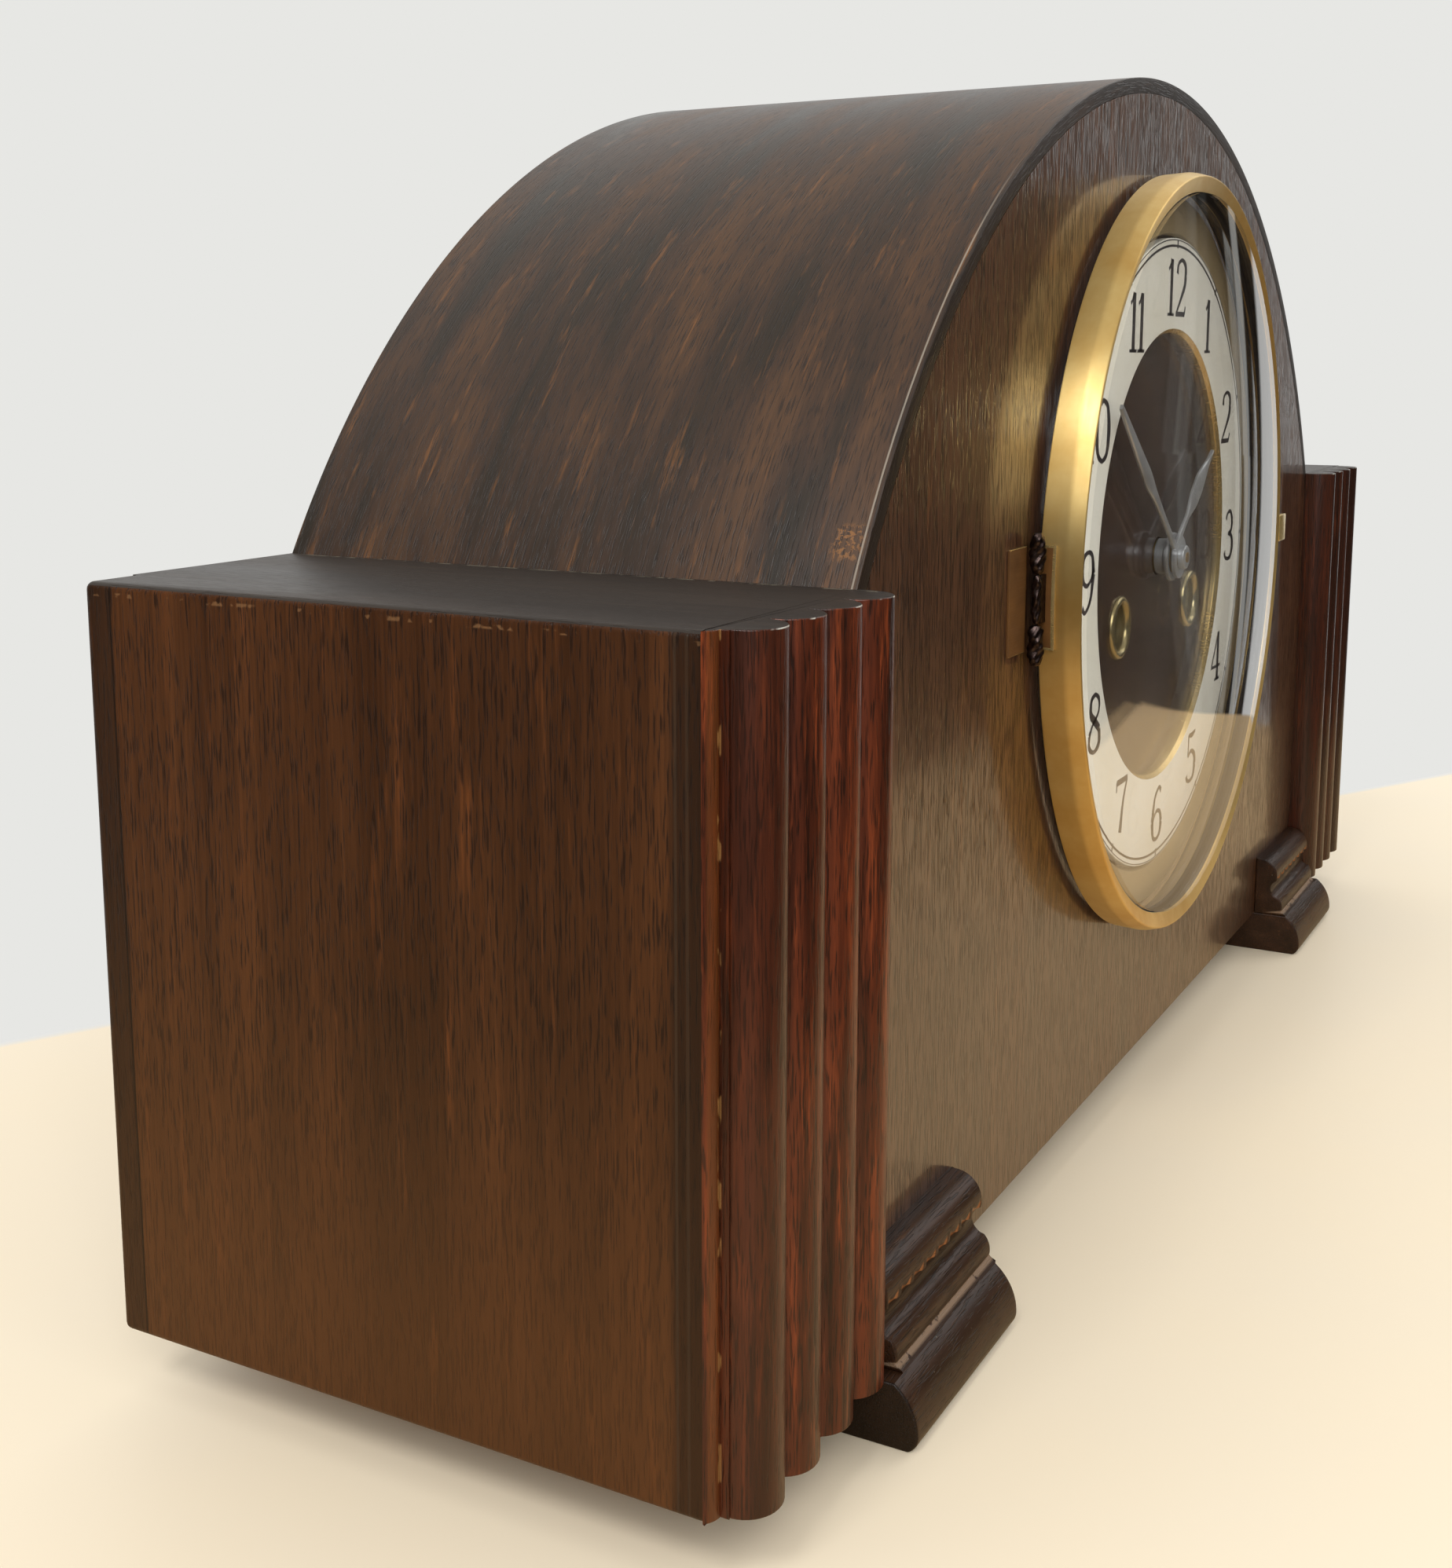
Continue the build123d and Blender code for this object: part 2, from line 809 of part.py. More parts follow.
finish(bezel_ring, "bezel_ring")

# Domed glass behind the lip
glass_radius = bezel_bore_radius - glass_clearance
glass_edge = bezel_lip_back - glass_gap
dome_middle_share = 0.25
with BuildPart() as bezel_glass:
    with BuildSketch(Plane(origin=(0, front_y, dial_z), x_dir=(1, 0, 0), z_dir=(0, 0, 1))):
        with BuildLine():
            for edge_depth in (glass_edge, glass_edge - glass_thickness):
                ThreePointArc(
                    (0, -edge_depth - dome_rise),
                    (glass_radius / 2, -edge_depth - dome_rise * (1 - dome_middle_share)),
                    (glass_radius, -edge_depth),
                )
            Line((glass_radius, -glass_edge), (glass_radius, glass_thickness - glass_edge))
            Line((0, -glass_edge - dome_rise), (0, glass_thickness - glass_edge - dome_rise))
        make_face()
    revolve(axis=dial_axis)
finish(bezel_glass, "bezel_glass")

# Pull tab at three o'clock
with BuildPart() as bezel_tab:
    tab_middle = bezel_shoulder - tab_drop - tab_thickness / 2
    with BuildSketch(Plane.XY.offset(dial_z - tab_width / 2)):
        with Locations((bezel_rear_radius, front_y - tab_middle)):
            tab_length = bezel_radius - bezel_rear_radius + tab_reach
            Rectangle(tab_length, tab_thickness, align=(Align.MIN, Align.CENTER))
    extrude(amount=tab_width)
    fillet(bezel_tab.edges().group_by(Axis.X)[-1], tab_round)
    with BuildSketch(Plane(origin=(0, front_y, dial_z), x_dir=(1, 0, 0), z_dir=(0, 0, 1))) as wall:
        with BuildLine():
            Polyline(
                (0, -bezel_rear),
                (bezel_rear_radius, -bezel_rear),
                (bezel_radius, -bezel_shoulder),
                (0, -bezel_shoulder),
                close=True,
            )
        make_face()
    revolve(wall.sketch, axis=dial_axis, mode=Mode.SUBTRACT)
finish(bezel_tab, "bezel_tab")

# Bezel hinge at nine o'clock
hinge_x = -bezel_radius - hinge_offset
hinge_y = front_y - hinge_leaf_thickness - hinge_barrel + hinge_running
hinge_bottom = dial_z - hinge_length / 2
hinge_knuckle = (hinge_length - 2 * hinge_joint_gap) / 3


def upright_round(radius, start, length, mode=Mode.ADD):
    """Adds or cuts a round upright on the bezel hinge's axis."""
    with BuildSketch(Plane.XY.offset(hinge_bottom + start)) as outline:
        with Locations((hinge_x, hinge_y)):
            Circle(radius)
    extrude(outline.sketch, amount=length, mode=mode)


with BuildPart() as bezel_hinge_frame:
    with BuildSketch(Plane.XY.offset(hinge_bottom)):
        with Locations((hinge_x, front_y)):
            Rectangle(hinge_leaf_width, hinge_leaf_thickness, align=(Align.MAX, Align.MAX))
    extrude(amount=hinge_length)
    for start in (0, hinge_length - hinge_knuckle):
        upright_round(hinge_barrel, start, hinge_knuckle)
    middle_room = hinge_knuckle + 2 * hinge_joint_gap
    upright_round(hinge_barrel + hinge_joint_gap, hinge_knuckle, middle_room, Mode.SUBTRACT)
    upright_round(hinge_pin, 0, hinge_length)
finish(bezel_hinge_frame, "bezel_hinge_frame")

with BuildPart() as bezel_leaf:
    with BuildSketch(Plane(origin=(0, front_y, dial_z), x_dir=(1, 0, 0), z_dir=(0, 0, 1))) as wall:
        with BuildLine():
            slope = (bezel_radius - bezel_rear_radius) / (bezel_shoulder - bezel_rear)
            leaf_rear = bezel_rear + hinge_leaf_thickness
            leaf_front = leaf_rear + bezel_leaf_depth
            near = bezel_rear_radius + slope * (leaf_rear - bezel_rear)
            far = bezel_rear_radius + slope * (leaf_front - bezel_rear)
            Polyline(
                (near, -leaf_rear),
                (near + hinge_leaf_thickness, -leaf_rear),
                (far + hinge_leaf_thickness, -leaf_front),
                (far, -leaf_front),
                close=True,
            )
        make_face()
    revolve(wall.sketch, axis=dial_axis)
    with BuildSketch(Plane.XY.offset(hinge_bottom)) as keep:
        with Locations((-bezel_radius, front_y)):
            Rectangle(bezel_radius, bezel_radius)
    extrude(keep.sketch, amount=hinge_length, mode=Mode.INTERSECT)
    middle_start = hinge_knuckle + hinge_joint_gap
    with BuildSketch(Plane.XY.offset(hinge_bottom + middle_start)) as web:
        with Locations((hinge_x, hinge_y)):
            web_length = -hinge_x - near - hinge_leaf_thickness / 2
            Rectangle(web_length, hinge_leaf_thickness, align=(Align.MIN, Align.MAX))
    extrude(web.sketch, amount=hinge_knuckle)
    upright_round(hinge_barrel, middle_start, hinge_knuckle)
    upright_round(hinge_pin + hinge_running, 0, hinge_length, Mode.SUBTRACT)
finish(bezel_leaf, "bezel_leaf")

# Dial: thin brass plate, margin ring, raised chapter ring and winding eyelets
winding_places = (time_at, strike_at)
with BuildPart() as dial_plate:
    disc(facing(0), dial_radius, dial_thickness, dial_centre_hole)
    bore_through(winding_places, eyelet_barrel + seat, 0, dial_thickness)
finish(dial_plate, "dial_plate")

with BuildPart() as dial_margin:
    disc(facing(-dial_thickness), margin_outer, margin_height, margin_inner)
    chamfer(dial_margin.edges().group_by(Axis.Y)[0].sort_by(SortBy.RADIUS)[0], margin_height / 2)
finish(dial_margin, "dial_margin")

with BuildPart() as chapter_ring:
    disc(facing(-dial_thickness), chapter_outer, chapter_height, chapter_inner)
    chamfer(chapter_ring.edges().group_by(Axis.Y)[0].sort_by(SortBy.RADIUS)[0], chapter_bevel)
finish(chapter_ring, "chapter_ring")

with BuildPart() as winding_eyelets:
    for place in winding_places:
        disc(facing(0, place), eyelet_barrel, dial_thickness, eyelet_bore)
        disc(facing(-dial_thickness, place), eyelet_radius, eyelet_height, eyelet_bore)
    fillet(winding_eyelets.edges().group_by(Axis.Y)[0], eyelet_height / 3)
finish(winding_eyelets, "winding_eyelets")

# Hands, with the collet round the hub and a leaf-shaped swelling
chapter_front = -dial_thickness - chapter_height
hour_hand_back = chapter_front - hour_hand_gap
minute_hand_back = hour_hand_back - hand_thickness - hand_spacing
nut_back = minute_hand_back - hand_thickness
swell_start_share = 0.34
swell_middle_share = 0.66
swell_end_share = 0.9


def hand(back, angle, length, hub, swell, bore):
    """Adds a hand that points an angle clockwise from twelve."""
    away = Plane(
        origin=(0, front_y + back, dial_z),
        x_dir=(sin(radians(angle)), 0, cos(radians(angle))),
        z_dir=(0, -1, 0),
    )
    with BuildSketch(away) as outline:
        Circle(hub)
        with BuildLine() as edge:
            stations = (
                (0, hand_neck),
                (length * swell_start_share, hand_neck),
                (length * swell_middle_share, swell),
                (length * swell_end_share, hand_neck),
                (length, hand_tip),
            )
            upper = [(along, half) for along, half in stations]
            lower = [(along, -half) for along, half in reversed(stations)]
            Polyline(upper[0], upper[1])
            Spline(upper[1], upper[2], upper[3], tangents=((1, 0), (1, 0)))
            Polyline(upper[3], upper[4], lower[0], lower[1])
            Spline(lower[1], lower[2], lower[3], tangents=((-1, 0), (-1, 0)))
            Polyline(lower[3], lower[4], upper[0])
        make_face(edge.line)
        Circle(bore, mode=Mode.SUBTRACT)
    extrude(outline.sketch, amount=hand_thickness)


with BuildPart() as hour_hand:
    hand(hour_hand_back, hour_hand_angle, hour_hand_length, hour_hub, hour_swell, hour_pipe_radius + seat)
finish(hour_hand, "hour_hand")

with BuildPart() as minute_hand:
    hand(
        minute_hand_back, minute_hand_angle, minute_hand_length, minute_hub, minute_swell,
        cannon_pipe_radius + seat,
    )
finish(minute_hand, "minute_hand")

with BuildPart() as hand_nut:
    disc(facing(nut_back, centre_at), nut_radius, nut_height, arbor_radius + seat)
    fillet(hand_nut.edges().group_by(Axis.Y)[0].sort_by(SortBy.RADIUS)[-1], nut_height / 3)
finish(hand_nut, "hand_nut")

# Movement plates, with every arbor's hole
plate_middle = (plate_top - plate_bottom) / 2
slow_arbors = [centre_at, second_at, third_at, escape_at, pallet_at, strike_second_at, pin_at, fly_at]
click_places = [(place[0] + click_pivot_x, place[1] + click_pivot_z) for place in winding_places]


def movement_plate(back):
    """Adds a plate with the arbor holes that both plates share."""
    with BuildSketch(facing(back, (0, plate_middle))) as outline:
        RectangleRounded(2 * plate_half_width, plate_top + plate_bottom, plate_round)
    extrude(outline.sketch, amount=plate_thickness)
    bore_through(slow_arbors, arbor_radius + running, back, plate_thickness)
    bore_through([hammer_at], hammer_arbor_radius + running, back, plate_thickness)
    bore_through(winding_places, winding_arbor_radius + running, back, plate_thickness)


with BuildPart() as movement_front_plate:
    movement_plate(plate_inner)
    bore_through(click_places, click_pivot_radius + running, plate_inner, plate_thickness)
    post_front = minute_pinion_back - long_pinion_length
    disc(facing(strap_back, minute_at), minute_post_radius, strap_back - post_front)
finish(movement_front_plate, "movement_front_plate")

cock_bottom = pallet_at[1] + cock_rise
pendulum_at = rear_plate_back + pendulum_depth
with BuildPart() as movement_back_plate:
    movement_plate(rear_plate_back)
    with BuildSketch(facing(rear_plate_back + cock_depth, (0, cock_bottom))) as cock:
        Rectangle(cock_width, cock_height, align=(Align.CENTER, Align.MIN))
    extrude(cock.sketch, amount=cock_depth)
    slot_width = suspension_width + 2 * nut_gap
    with BuildSketch(facing(pendulum_at + slot_width / 2, (0, cock_bottom))) as slot:
        Rectangle(cock_slot, cock_slot_height, align=(Align.CENTER, Align.MIN))
    extrude(slot.sketch, amount=slot_width, mode=Mode.SUBTRACT)
finish(movement_back_plate, "movement_back_plate")

with BuildPart() as plate_pillars:
    for place in pillar_places:
        disc(facing(rear_plate_inner, place), pillar_radius, plate_gap)
finish(plate_pillars, "plate_pillars")

# Mounting straps from the front plate's corners out to the panel, and their screws
with BuildPart() as mounting_straps:
    for angle in strap_angles:
        along = Plane(
            origin=(0, front_y + strap_back, dial_z),
            x_dir=(cos(radians(angle)), 0, sin(radians(angle))),
            z_dir=(0, -1, 0),
        )
        with BuildSketch(along) as strap:
            corner = hypot(pillar_x, pillar_bottom) - strap_width / 2
            with Locations((corner, 0)):
                Rectangle(strap_reach - corner, strap_width, align=(Align.MIN, Align.CENTER))
            with Locations((strap_screw_radius, 0)):
                Circle(screw_radius + seat, mode=Mode.SUBTRACT)
        extrude(strap.sketch, amount=strap_thickness)
finish(mounting_straps, "mounting_straps")

with BuildPart() as strap_screw_set:
    for place in strap_screws:
        disc(facing(strap_back + screw_head_height, place), screw_head_radius, screw_head_height)
        disc(facing(strap_back, place), screw_radius, screw_length)
finish(strap_screw_set, "strap_screws")

# Going train phases, each wheel set so that its teeth meet the next one's gaps
centre_pinion_phase = 0
centre_wheel_phase = 0
second_wheel_phase = mating_phase(
    centre_pinion_phase, centre_pinion_leaves, second_teeth, centre_at, second_at
)
second_pinion_phase = 0
great_phase = mating_phase(second_pinion_phase, second_pinion_leaves, great_teeth, second_at, time_at)
third_pinion_phase = mating_phase(centre_wheel_phase, centre_teeth, third_pinion_leaves, centre_at, third_at)
third_wheel_phase = 0
escape_pinion_phase = mating_phase(third_wheel_phase, third_teeth, escape_pinion_leaves, third_at, escape_at)
cannon_phase = 0
minute_wheel_phase = mating_phase(cannon_phase, cannon_leaves, minute_teeth, centre_at, minute_at)
minute_pinion_phase = 0
hour_phase = mating_phase(minute_pinion_phase, minute_pinion_leaves, hour_teeth, minute_at, centre_at)

with BuildPart() as centre_wheel:
    arbor(centre_at, front=nut_back - nut_height - pipe_overrun)
    back = inner_back(centre_wheel_level, wheel_thickness)
    toothed(facing(back, centre_at), wheel_thickness, centre_teeth, train_module, centre_wheel_phase)
    crossed_out(back, centre_at, pitch_radius(centre_teeth, train_module), wheel_thickness)
    back = inner_back(centre_pinion_level, pinion_length)
    toothed(
        facing(back, centre_at), pinion_length, centre_pinion_leaves, second_module, centre_pinion_phase,
        leaf=True,
    )
finish(centre_wheel, "centre_wheel")

with BuildPart() as cannon_pinion:
    pipe_front = minute_hand_back - hand_thickness
    disc(facing(cannon_back, centre_at), cannon_pipe_radius, cannon_back - pipe_front)
    toothed(
        facing(cannon_back, centre_at), pinion_length, cannon_leaves, cannon_module, cannon_phase, leaf=True
    )
    bore_through([centre_at], arbor_radius + seat, cannon_back, cannon_back - pipe_front)
finish(cannon_pinion, "cannon_pinion")

with BuildPart() as minute_wheel:
    toothed(
        facing(minute_wheel_back, minute_at), wheel_thickness, minute_teeth, cannon_module, minute_wheel_phase
    )
    toothed(
        facing(minute_pinion_back, minute_at), long_pinion_length, minute_pinion_leaves, hour_module,
        minute_pinion_phase, leaf=True,
    )
    bore_length = minute_wheel_back - minute_pinion_back + long_pinion_length
    bore_through([minute_at], minute_post_radius + running, minute_wheel_back, bore_length)
finish(minute_wheel, "minute_wheel")

with BuildPart() as hour_wheel:
    pipe_length = hour_wheel_back - hour_hand_back + hand_thickness
    toothed(facing(hour_wheel_back, centre_at), wheel_thickness, hour_teeth, hour_module, hour_phase)
    disc(facing(hour_wheel_back, centre_at), hour_pipe_radius, pipe_length)
    with BuildSketch(facing(snail_back, centre_at)) as snail:
        step_angle = 360 / snail_steps
        for step in range(snail_steps):
            radius = snail_radius - (snail_radius - snail_least) * step / (snail_steps - 1)
            with BuildLine() as sector:
                start = (radius * cos(radians(step * step_angle)), radius * sin(radians(step * step_angle)))
                end_turn = radians((step + 1) * step_angle)
                end = (radius * cos(end_turn), radius * sin(end_turn))
                Line((0, 0), start)
                RadiusArc(start, end, -radius)
                Line(end, (0, 0))
            make_face(sector.line)
    extrude(snail.sketch, amount=snail_thickness)
    bore_through([centre_at], cannon_pipe_radius + running, hour_wheel_back, pipe_length)
finish(hour_wheel, "hour_wheel")

with BuildPart() as second_wheel:
    arbor(second_at)
    back = inner_back(second_pinion_level, long_pinion_length)
    toothed(
        facing(back, second_at), long_pinion_length, second_pinion_leaves, great_module, second_pinion_phase,
        leaf=True,
    )
    back = inner_back(second_wheel_level, wheel_thickness)
    toothed(facing(back, second_at), wheel_thickness, second_teeth, second_module, second_wheel_phase)
    crossed_out(back, second_at, pitch_radius(second_teeth, second_module), wheel_thickness)
finish(second_wheel, "second_wheel")

with BuildPart() as third_wheel:
    arbor(third_at)
    back = inner_back(third_pinion_level, pinion_length)
    toothed(
        facing(back, third_at), pinion_length, third_pinion_leaves, train_module, third_pinion_phase,
        leaf=True,
    )
    back = inner_back(third_wheel_level, wheel_thickness)
    toothed(facing(back, third_at), wheel_thickness, third_teeth, train_module, third_wheel_phase)
    crossed_out(back, third_at, pitch_radius(third_teeth, train_module), wheel_thickness)
finish(third_wheel, "third_wheel")

escape_root = escape_radius - escape_tooth_height
escape_tip_share = 0.12
escape_root_share = 0.36
with BuildPart() as escape_wheel:
    arbor(escape_at)
    back = inner_back(escape_pinion_level, pinion_length)
    toothed(
        facing(back, escape_at), pinion_length, escape_pinion_leaves, train_module, escape_pinion_phase,
        leaf=True,
    )
    back = inner_back(escape_wheel_level, wheel_thickness)
    with BuildSketch(facing(back, escape_at)) as outline:
        with BuildLine() as edge:
            points = []
            for tooth in range(escape_teeth):
                middle = pi / 2 + tooth * 2 * pi / escape_teeth
                tip_half = escape_tip_share * pi / escape_teeth
                root_half = escape_root_share * pi / escape_teeth
                for radius, turn in (
                    (escape_root, -root_half),
                    (escape_radius, -tip_half),
                    (escape_radius, tip_half),
                    (escape_root, root_half),
                ):
                    points.append((radius * cos(middle + turn), radius * sin(middle + turn)))
            Polyline(*points, close=True)
        make_face(edge.line)
    extrude(outline.sketch, amount=wheel_thickness)
    crossed_out(back, escape_at, escape_root, wheel_thickness)
finish(escape_wheel, "escape_wheel")

# Pallet anchor with its arbor, and the crutch that holds the pendulum rod in a fork
pallet_back = inner_back(escape_wheel_level, pallet_thickness)
nib_tip = escape_radius + pallet_clearance
with BuildPart() as pallet_anchor:
    arbor(pallet_at, back=rear_plate_back + crutch_gap + crutch_thickness)
    disc(facing(pallet_back, pallet_at), pallet_hub, pallet_thickness)
    anchor_height = pallet_at[1] - escape_at[1]
    for side in (-1, 1):
        angle = radians(pallet_half_angle)
        with BuildSketch(facing(pallet_back, escape_at)) as arm:
            with BuildLine() as edge:
                nib = (side * nib_tip * sin(angle), nib_tip * cos(angle))
                rise = (nib_tip + pallet_drop) / nib_tip
                elbow = (rise * nib[0], rise * nib[1])
                Polyline(
                    (nib[0] - side * pallet_nib / 2, nib[1]),
                    (nib[0] + side * pallet_nib / 2, nib[1]),
                    (elbow[0] + side * pallet_arm / 2, elbow[1] - pallet_arm / 2),
                    (elbow[0] + side * pallet_arm / 2, elbow[1] + pallet_arm / 2),
                    (0, anchor_height + pallet_arm / 2),
                    (0, anchor_height - pallet_arm / 2),
                    (elbow[0] - side * pallet_arm / 2, elbow[1] - pallet_arm / 2),
                    close=True,
                )
            make_face(edge.line)
        extrude(arm.sketch, amount=pallet_thickness)
    crutch_back = rear_plate_back + crutch_gap + crutch_thickness
    with BuildSketch(facing(crutch_back, pallet_at)) as crutch:
        Circle(crutch_width)
        Rectangle(crutch_width, crutch_length, align=(Align.CENTER, Align.MAX))
        with Locations((0, -crutch_length)):
            Rectangle(2 * (rod_radius + nut_gap + fork_prong), crutch_width, align=(Align.CENTER, Align.MAX))
    extrude(crutch.sketch, amount=crutch_thickness)
    with BuildSketch(facing(crutch_back + fork_reach, pallet_at)) as fork:
        for side in (-1, 1):
            prong_middle = side * (rod_radius + nut_gap + fork_prong / 2)
            with Locations((prong_middle, -crutch_length)):
                Rectangle(fork_prong, crutch_width, align=(Align.CENTER, Align.MAX))
    extrude(fork.sketch, amount=fork_reach)
finish(pallet_anchor, "pallet_anchor")

# Pendulum: thin suspension spring, rod, lens-shaped bob and rating nut
rod_start = pallet_at[1] - rod_top
bob_at = (0, base_thickness + pendulum_floor_gap + rod_tail - dial_height)
rod_end = bob_at[1] - rod_tail


def upright(place_z, radius, length):
    """Adds a round upright on the pendulum's line, from its top down."""
    with BuildSketch(Plane.XY.offset(dial_z + place_z - length)) as outline:
        with Locations((0, front_y + pendulum_at)):
            Circle(radius)
    extrude(outline.sketch, amount=length)


with BuildPart() as suspension_spring:
    with BuildSketch(facing(pendulum_at + suspension_width / 2, (0, rod_start))):
        Rectangle(suspension_thickness, rod_top + suspension_top, align=(Align.CENTER, Align.MIN))
    extrude(amount=suspension_width)
finish(suspension_spring, "suspension_spring")

with BuildPart() as pendulum_rod:
    upright(rod_start, rod_radius, rod_start - rod_end)
finish(pendulum_rod, "pendulum_rod")

with BuildPart() as pendulum_bob:
    bob_middle = (0, front_y + pendulum_at, dial_z + bob_at[1])
    with BuildSketch(Plane(origin=bob_middle, x_dir=(1, 0, 0), z_dir=(0, 0, 1))):
        with BuildLine():
            for direction in (-1, 1):
                face_middle = (bob_radius / 2, direction * (bob_rim + (bob_thickness - bob_rim) * 3 / 4) / 2)
                ThreePointArc(
                    (0, direction * bob_thickness / 2), face_middle, (bob_radius, direction * bob_rim / 2)
                )
            Line((bob_radius, -bob_rim / 2), (bob_radius, bob_rim / 2))
            Line((0, -bob_thickness / 2), (0, bob_thickness / 2))
        make_face()
    revolve(axis=Axis(bob_middle, (0, 1, 0)))
    with BuildSketch(Plane.XY.offset(dial_z + bob_at[1] - bob_radius)) as bore:
        with Locations((0, front_y + pendulum_at)):
            Circle(rod_radius + seat)
    extrude(bore.sketch, amount=2 * bob_radius, mode=Mode.SUBTRACT)
finish(pendulum_bob, "pendulum_bob")

with BuildPart() as rating_nut:
    with BuildSketch(Plane.XY.offset(dial_z + bob_at[1] - bob_radius - nut_gap - nut_thickness)):
        with Locations((0, front_y + pendulum_at)):
            Circle(nut_outer)
            Circle(rod_radius + seat, mode=Mode.SUBTRACT)
    extrude(amount=nut_thickness)
finish(rating_nut, "rating_nut")

# Spring barrels with great wheels, mainsprings, winding arbors with ratchets, and clicks
strike_great_phase = 0
great_back = inner_back(great_level, great_thickness)
drum_back = inner_back(drum_level, drum_length)
cavity = drum_length - 2 * drum_wall
spring_height = cavity - 2 * spring_end_gap
spring_start = winding_hub_radius + spring_hub_gap
spring_reach = drum_radius - drum_wall - spring_wall_gap - spring_thickness
hub_back = drum_back - drum_wall - spring_end_gap


def barrel(place, phase):
    """Adds a hollow drum that its great wheel closes at the front, bored for the winding arbor."""
    disc(facing(drum_back, place), drum_radius, drum_length)
    disc(facing(great_back, place), drum_radius, great_thickness)
    toothed(facing(great_back, place), great_thickness, great_teeth, great_module, phase)
    with BuildSketch(facing(drum_back - drum_wall, place)) as hollow:
        Circle(drum_radius - drum_wall)
    extrude(hollow.sketch, amount=cavity, mode=Mode.SUBTRACT)
    bore_through([place], winding_arbor_radius + running, drum_back, drum_length + great_thickness)


def mainspring(place):
    """Adds a flat spiral, each half turn an arc that is wider than the last."""
    half_turns = 2 * spring_turns
    growth = (spring_reach - spring_start) / half_turns
    outer = []
    for half_turn in range(half_turns):
        sign = 1 if half_turn % 2 == 0 else -1
        near = spring_start + half_turn * growth
        far = near + growth
        outer.append((sign * near, -sign * far, sign * (near + far) / 2))
    with BuildSketch(facing(hub_back, place)) as coil:
        with BuildLine() as edge:
            for extra in (0, spring_thickness):
                for start, end, crown in outer:
                    side = 1 if start > 0 else -1
                    middle = ((start + end) / 2, crown + side * extra)
                    ThreePointArc((start + side * extra, 0), middle, (end - side * extra, 0))
            Line((outer[0][0], 0), (outer[0][0] + spring_thickness, 0))
            last = outer[-1][1]
            last_side = 1 if last > 0 else -1
            Line((last, 0), (last + last_side * spring_thickness, 0))
        make_face(edge.line)
    extrude(coil.sketch, amount=spring_height)


def winding_arbor(place):
    """Adds an arbor with its square front end, ratchet wheel and spring hub."""
    disc(facing(rear_plate_back, place), winding_arbor_radius, rear_plate_back - ratchet_back)
    disc(facing(hub_back, place), winding_hub_radius, spring_height)
    with BuildSketch(facing(ratchet_back, place)) as square:
        Rectangle(winding_square, winding_square)
    extrude(square.sketch, amount=ratchet_back - square_front)
    with BuildSketch(facing(ratchet_back, place)) as ratchet:
        with BuildLine() as edge:
            points = []
            for tooth in range(ratchet_teeth):
                turn = tooth * 2 * pi / ratchet_teeth
                points.append((ratchet_radius * cos(turn), ratchet_radius * sin(turn)))
                points.append((ratchet_root * cos(turn), ratchet_root * sin(turn)))
            Polyline(*points, close=True)
        make_face(edge.line)
    extrude(ratchet.sketch, amount=ratchet_thickness)


nose_start_share = 0.15
nose_end_share = 0.8


def click(place):
    """Adds a click whose nose lies in a ratchet gap, on a pin that turns in the front plate."""
    pitch = 360 / ratchet_teeth
    with BuildSketch(facing(ratchet_back, place)) as lever:
        with BuildLine() as edge:
            low = polar((0, 0), ratchet_root + click_nose_clear, click_nose_angle + nose_start_share * pitch)
            high = polar((0, 0), ratchet_radius + click_nose_clear, click_nose_angle + nose_end_share * pitch)
            outer = ratchet_radius + click_thickness_at_nose
            left = polar((0, 0), outer, click_nose_angle + nose_end_share * pitch)
            Polyline(
                low,
                high,
                left,
                (click_pivot_x, click_pivot_z + click_hub),
                (click_pivot_x - click_hub, click_pivot_z),
                polar((0, 0), ratchet_radius + click_undercut, click_nose_angle + nose_start_share * pitch),
                close=True,
            )
        make_face(edge.line)
        with Locations((click_pivot_x, click_pivot_z)):
            Circle(click_hub)
    extrude(lever.sketch, amount=ratchet_thickness)
    pivot = (place[0] + click_pivot_x, place[1] + click_pivot_z)
    disc(facing(plate_inner, pivot), click_pivot_radius, plate_inner - ratchet_back)


for place, phase, name in ((time_at, great_phase, "time"), (strike_at, strike_great_phase, "strike")):
    with BuildPart() as spring_barrel:
        barrel(place, phase)
    finish(spring_barrel, f"{name}_barrel")
    with BuildPart() as spring:
        mainspring(place)
    finish(spring, f"{name}_mainspring")
    with BuildPart() as winder:
        winding_arbor(place)
    finish(winder, f"{name}_winding_arbor")
    with BuildPart() as click_lever:
        click(place)
    finish(click_lever, f"{name}_click")

# Striking train, from the barrel to the fly
strike_pinion_phase = mating_phase(
    strike_great_phase, great_teeth, second_pinion_leaves, strike_at, strike_second_at
)
strike_wheel_phase = 0
pin_pinion_phase = mating_phase(
    strike_wheel_phase, strike_second_teeth, pin_pinion_leaves, strike_second_at, pin_at
)
pin_wheel_phase = 0
fly_phase = mating_phase(pin_wheel_phase, pin_teeth, fly_leaves, pin_at, fly_at)

with BuildPart() as strike_second_wheel:
    arbor(strike_second_at)
    back = inner_back(second_pinion_level, long_pinion_length)
    toothed(
        facing(back, strike_second_at), long_pinion_length, second_pinion_leaves, great_module,
        strike_pinion_phase, leaf=True,
    )
    back = inner_back(second_wheel_level, wheel_thickness)
    toothed(
        facing(back, strike_second_at), wheel_thickness, strike_second_teeth, strike_module,
        strike_wheel_phase,
    )
    crossed_out(back, strike_second_at, pitch_radius(strike_second_teeth, strike_module), wheel_thickness)
finish(strike_second_wheel, "strike_second_wheel")

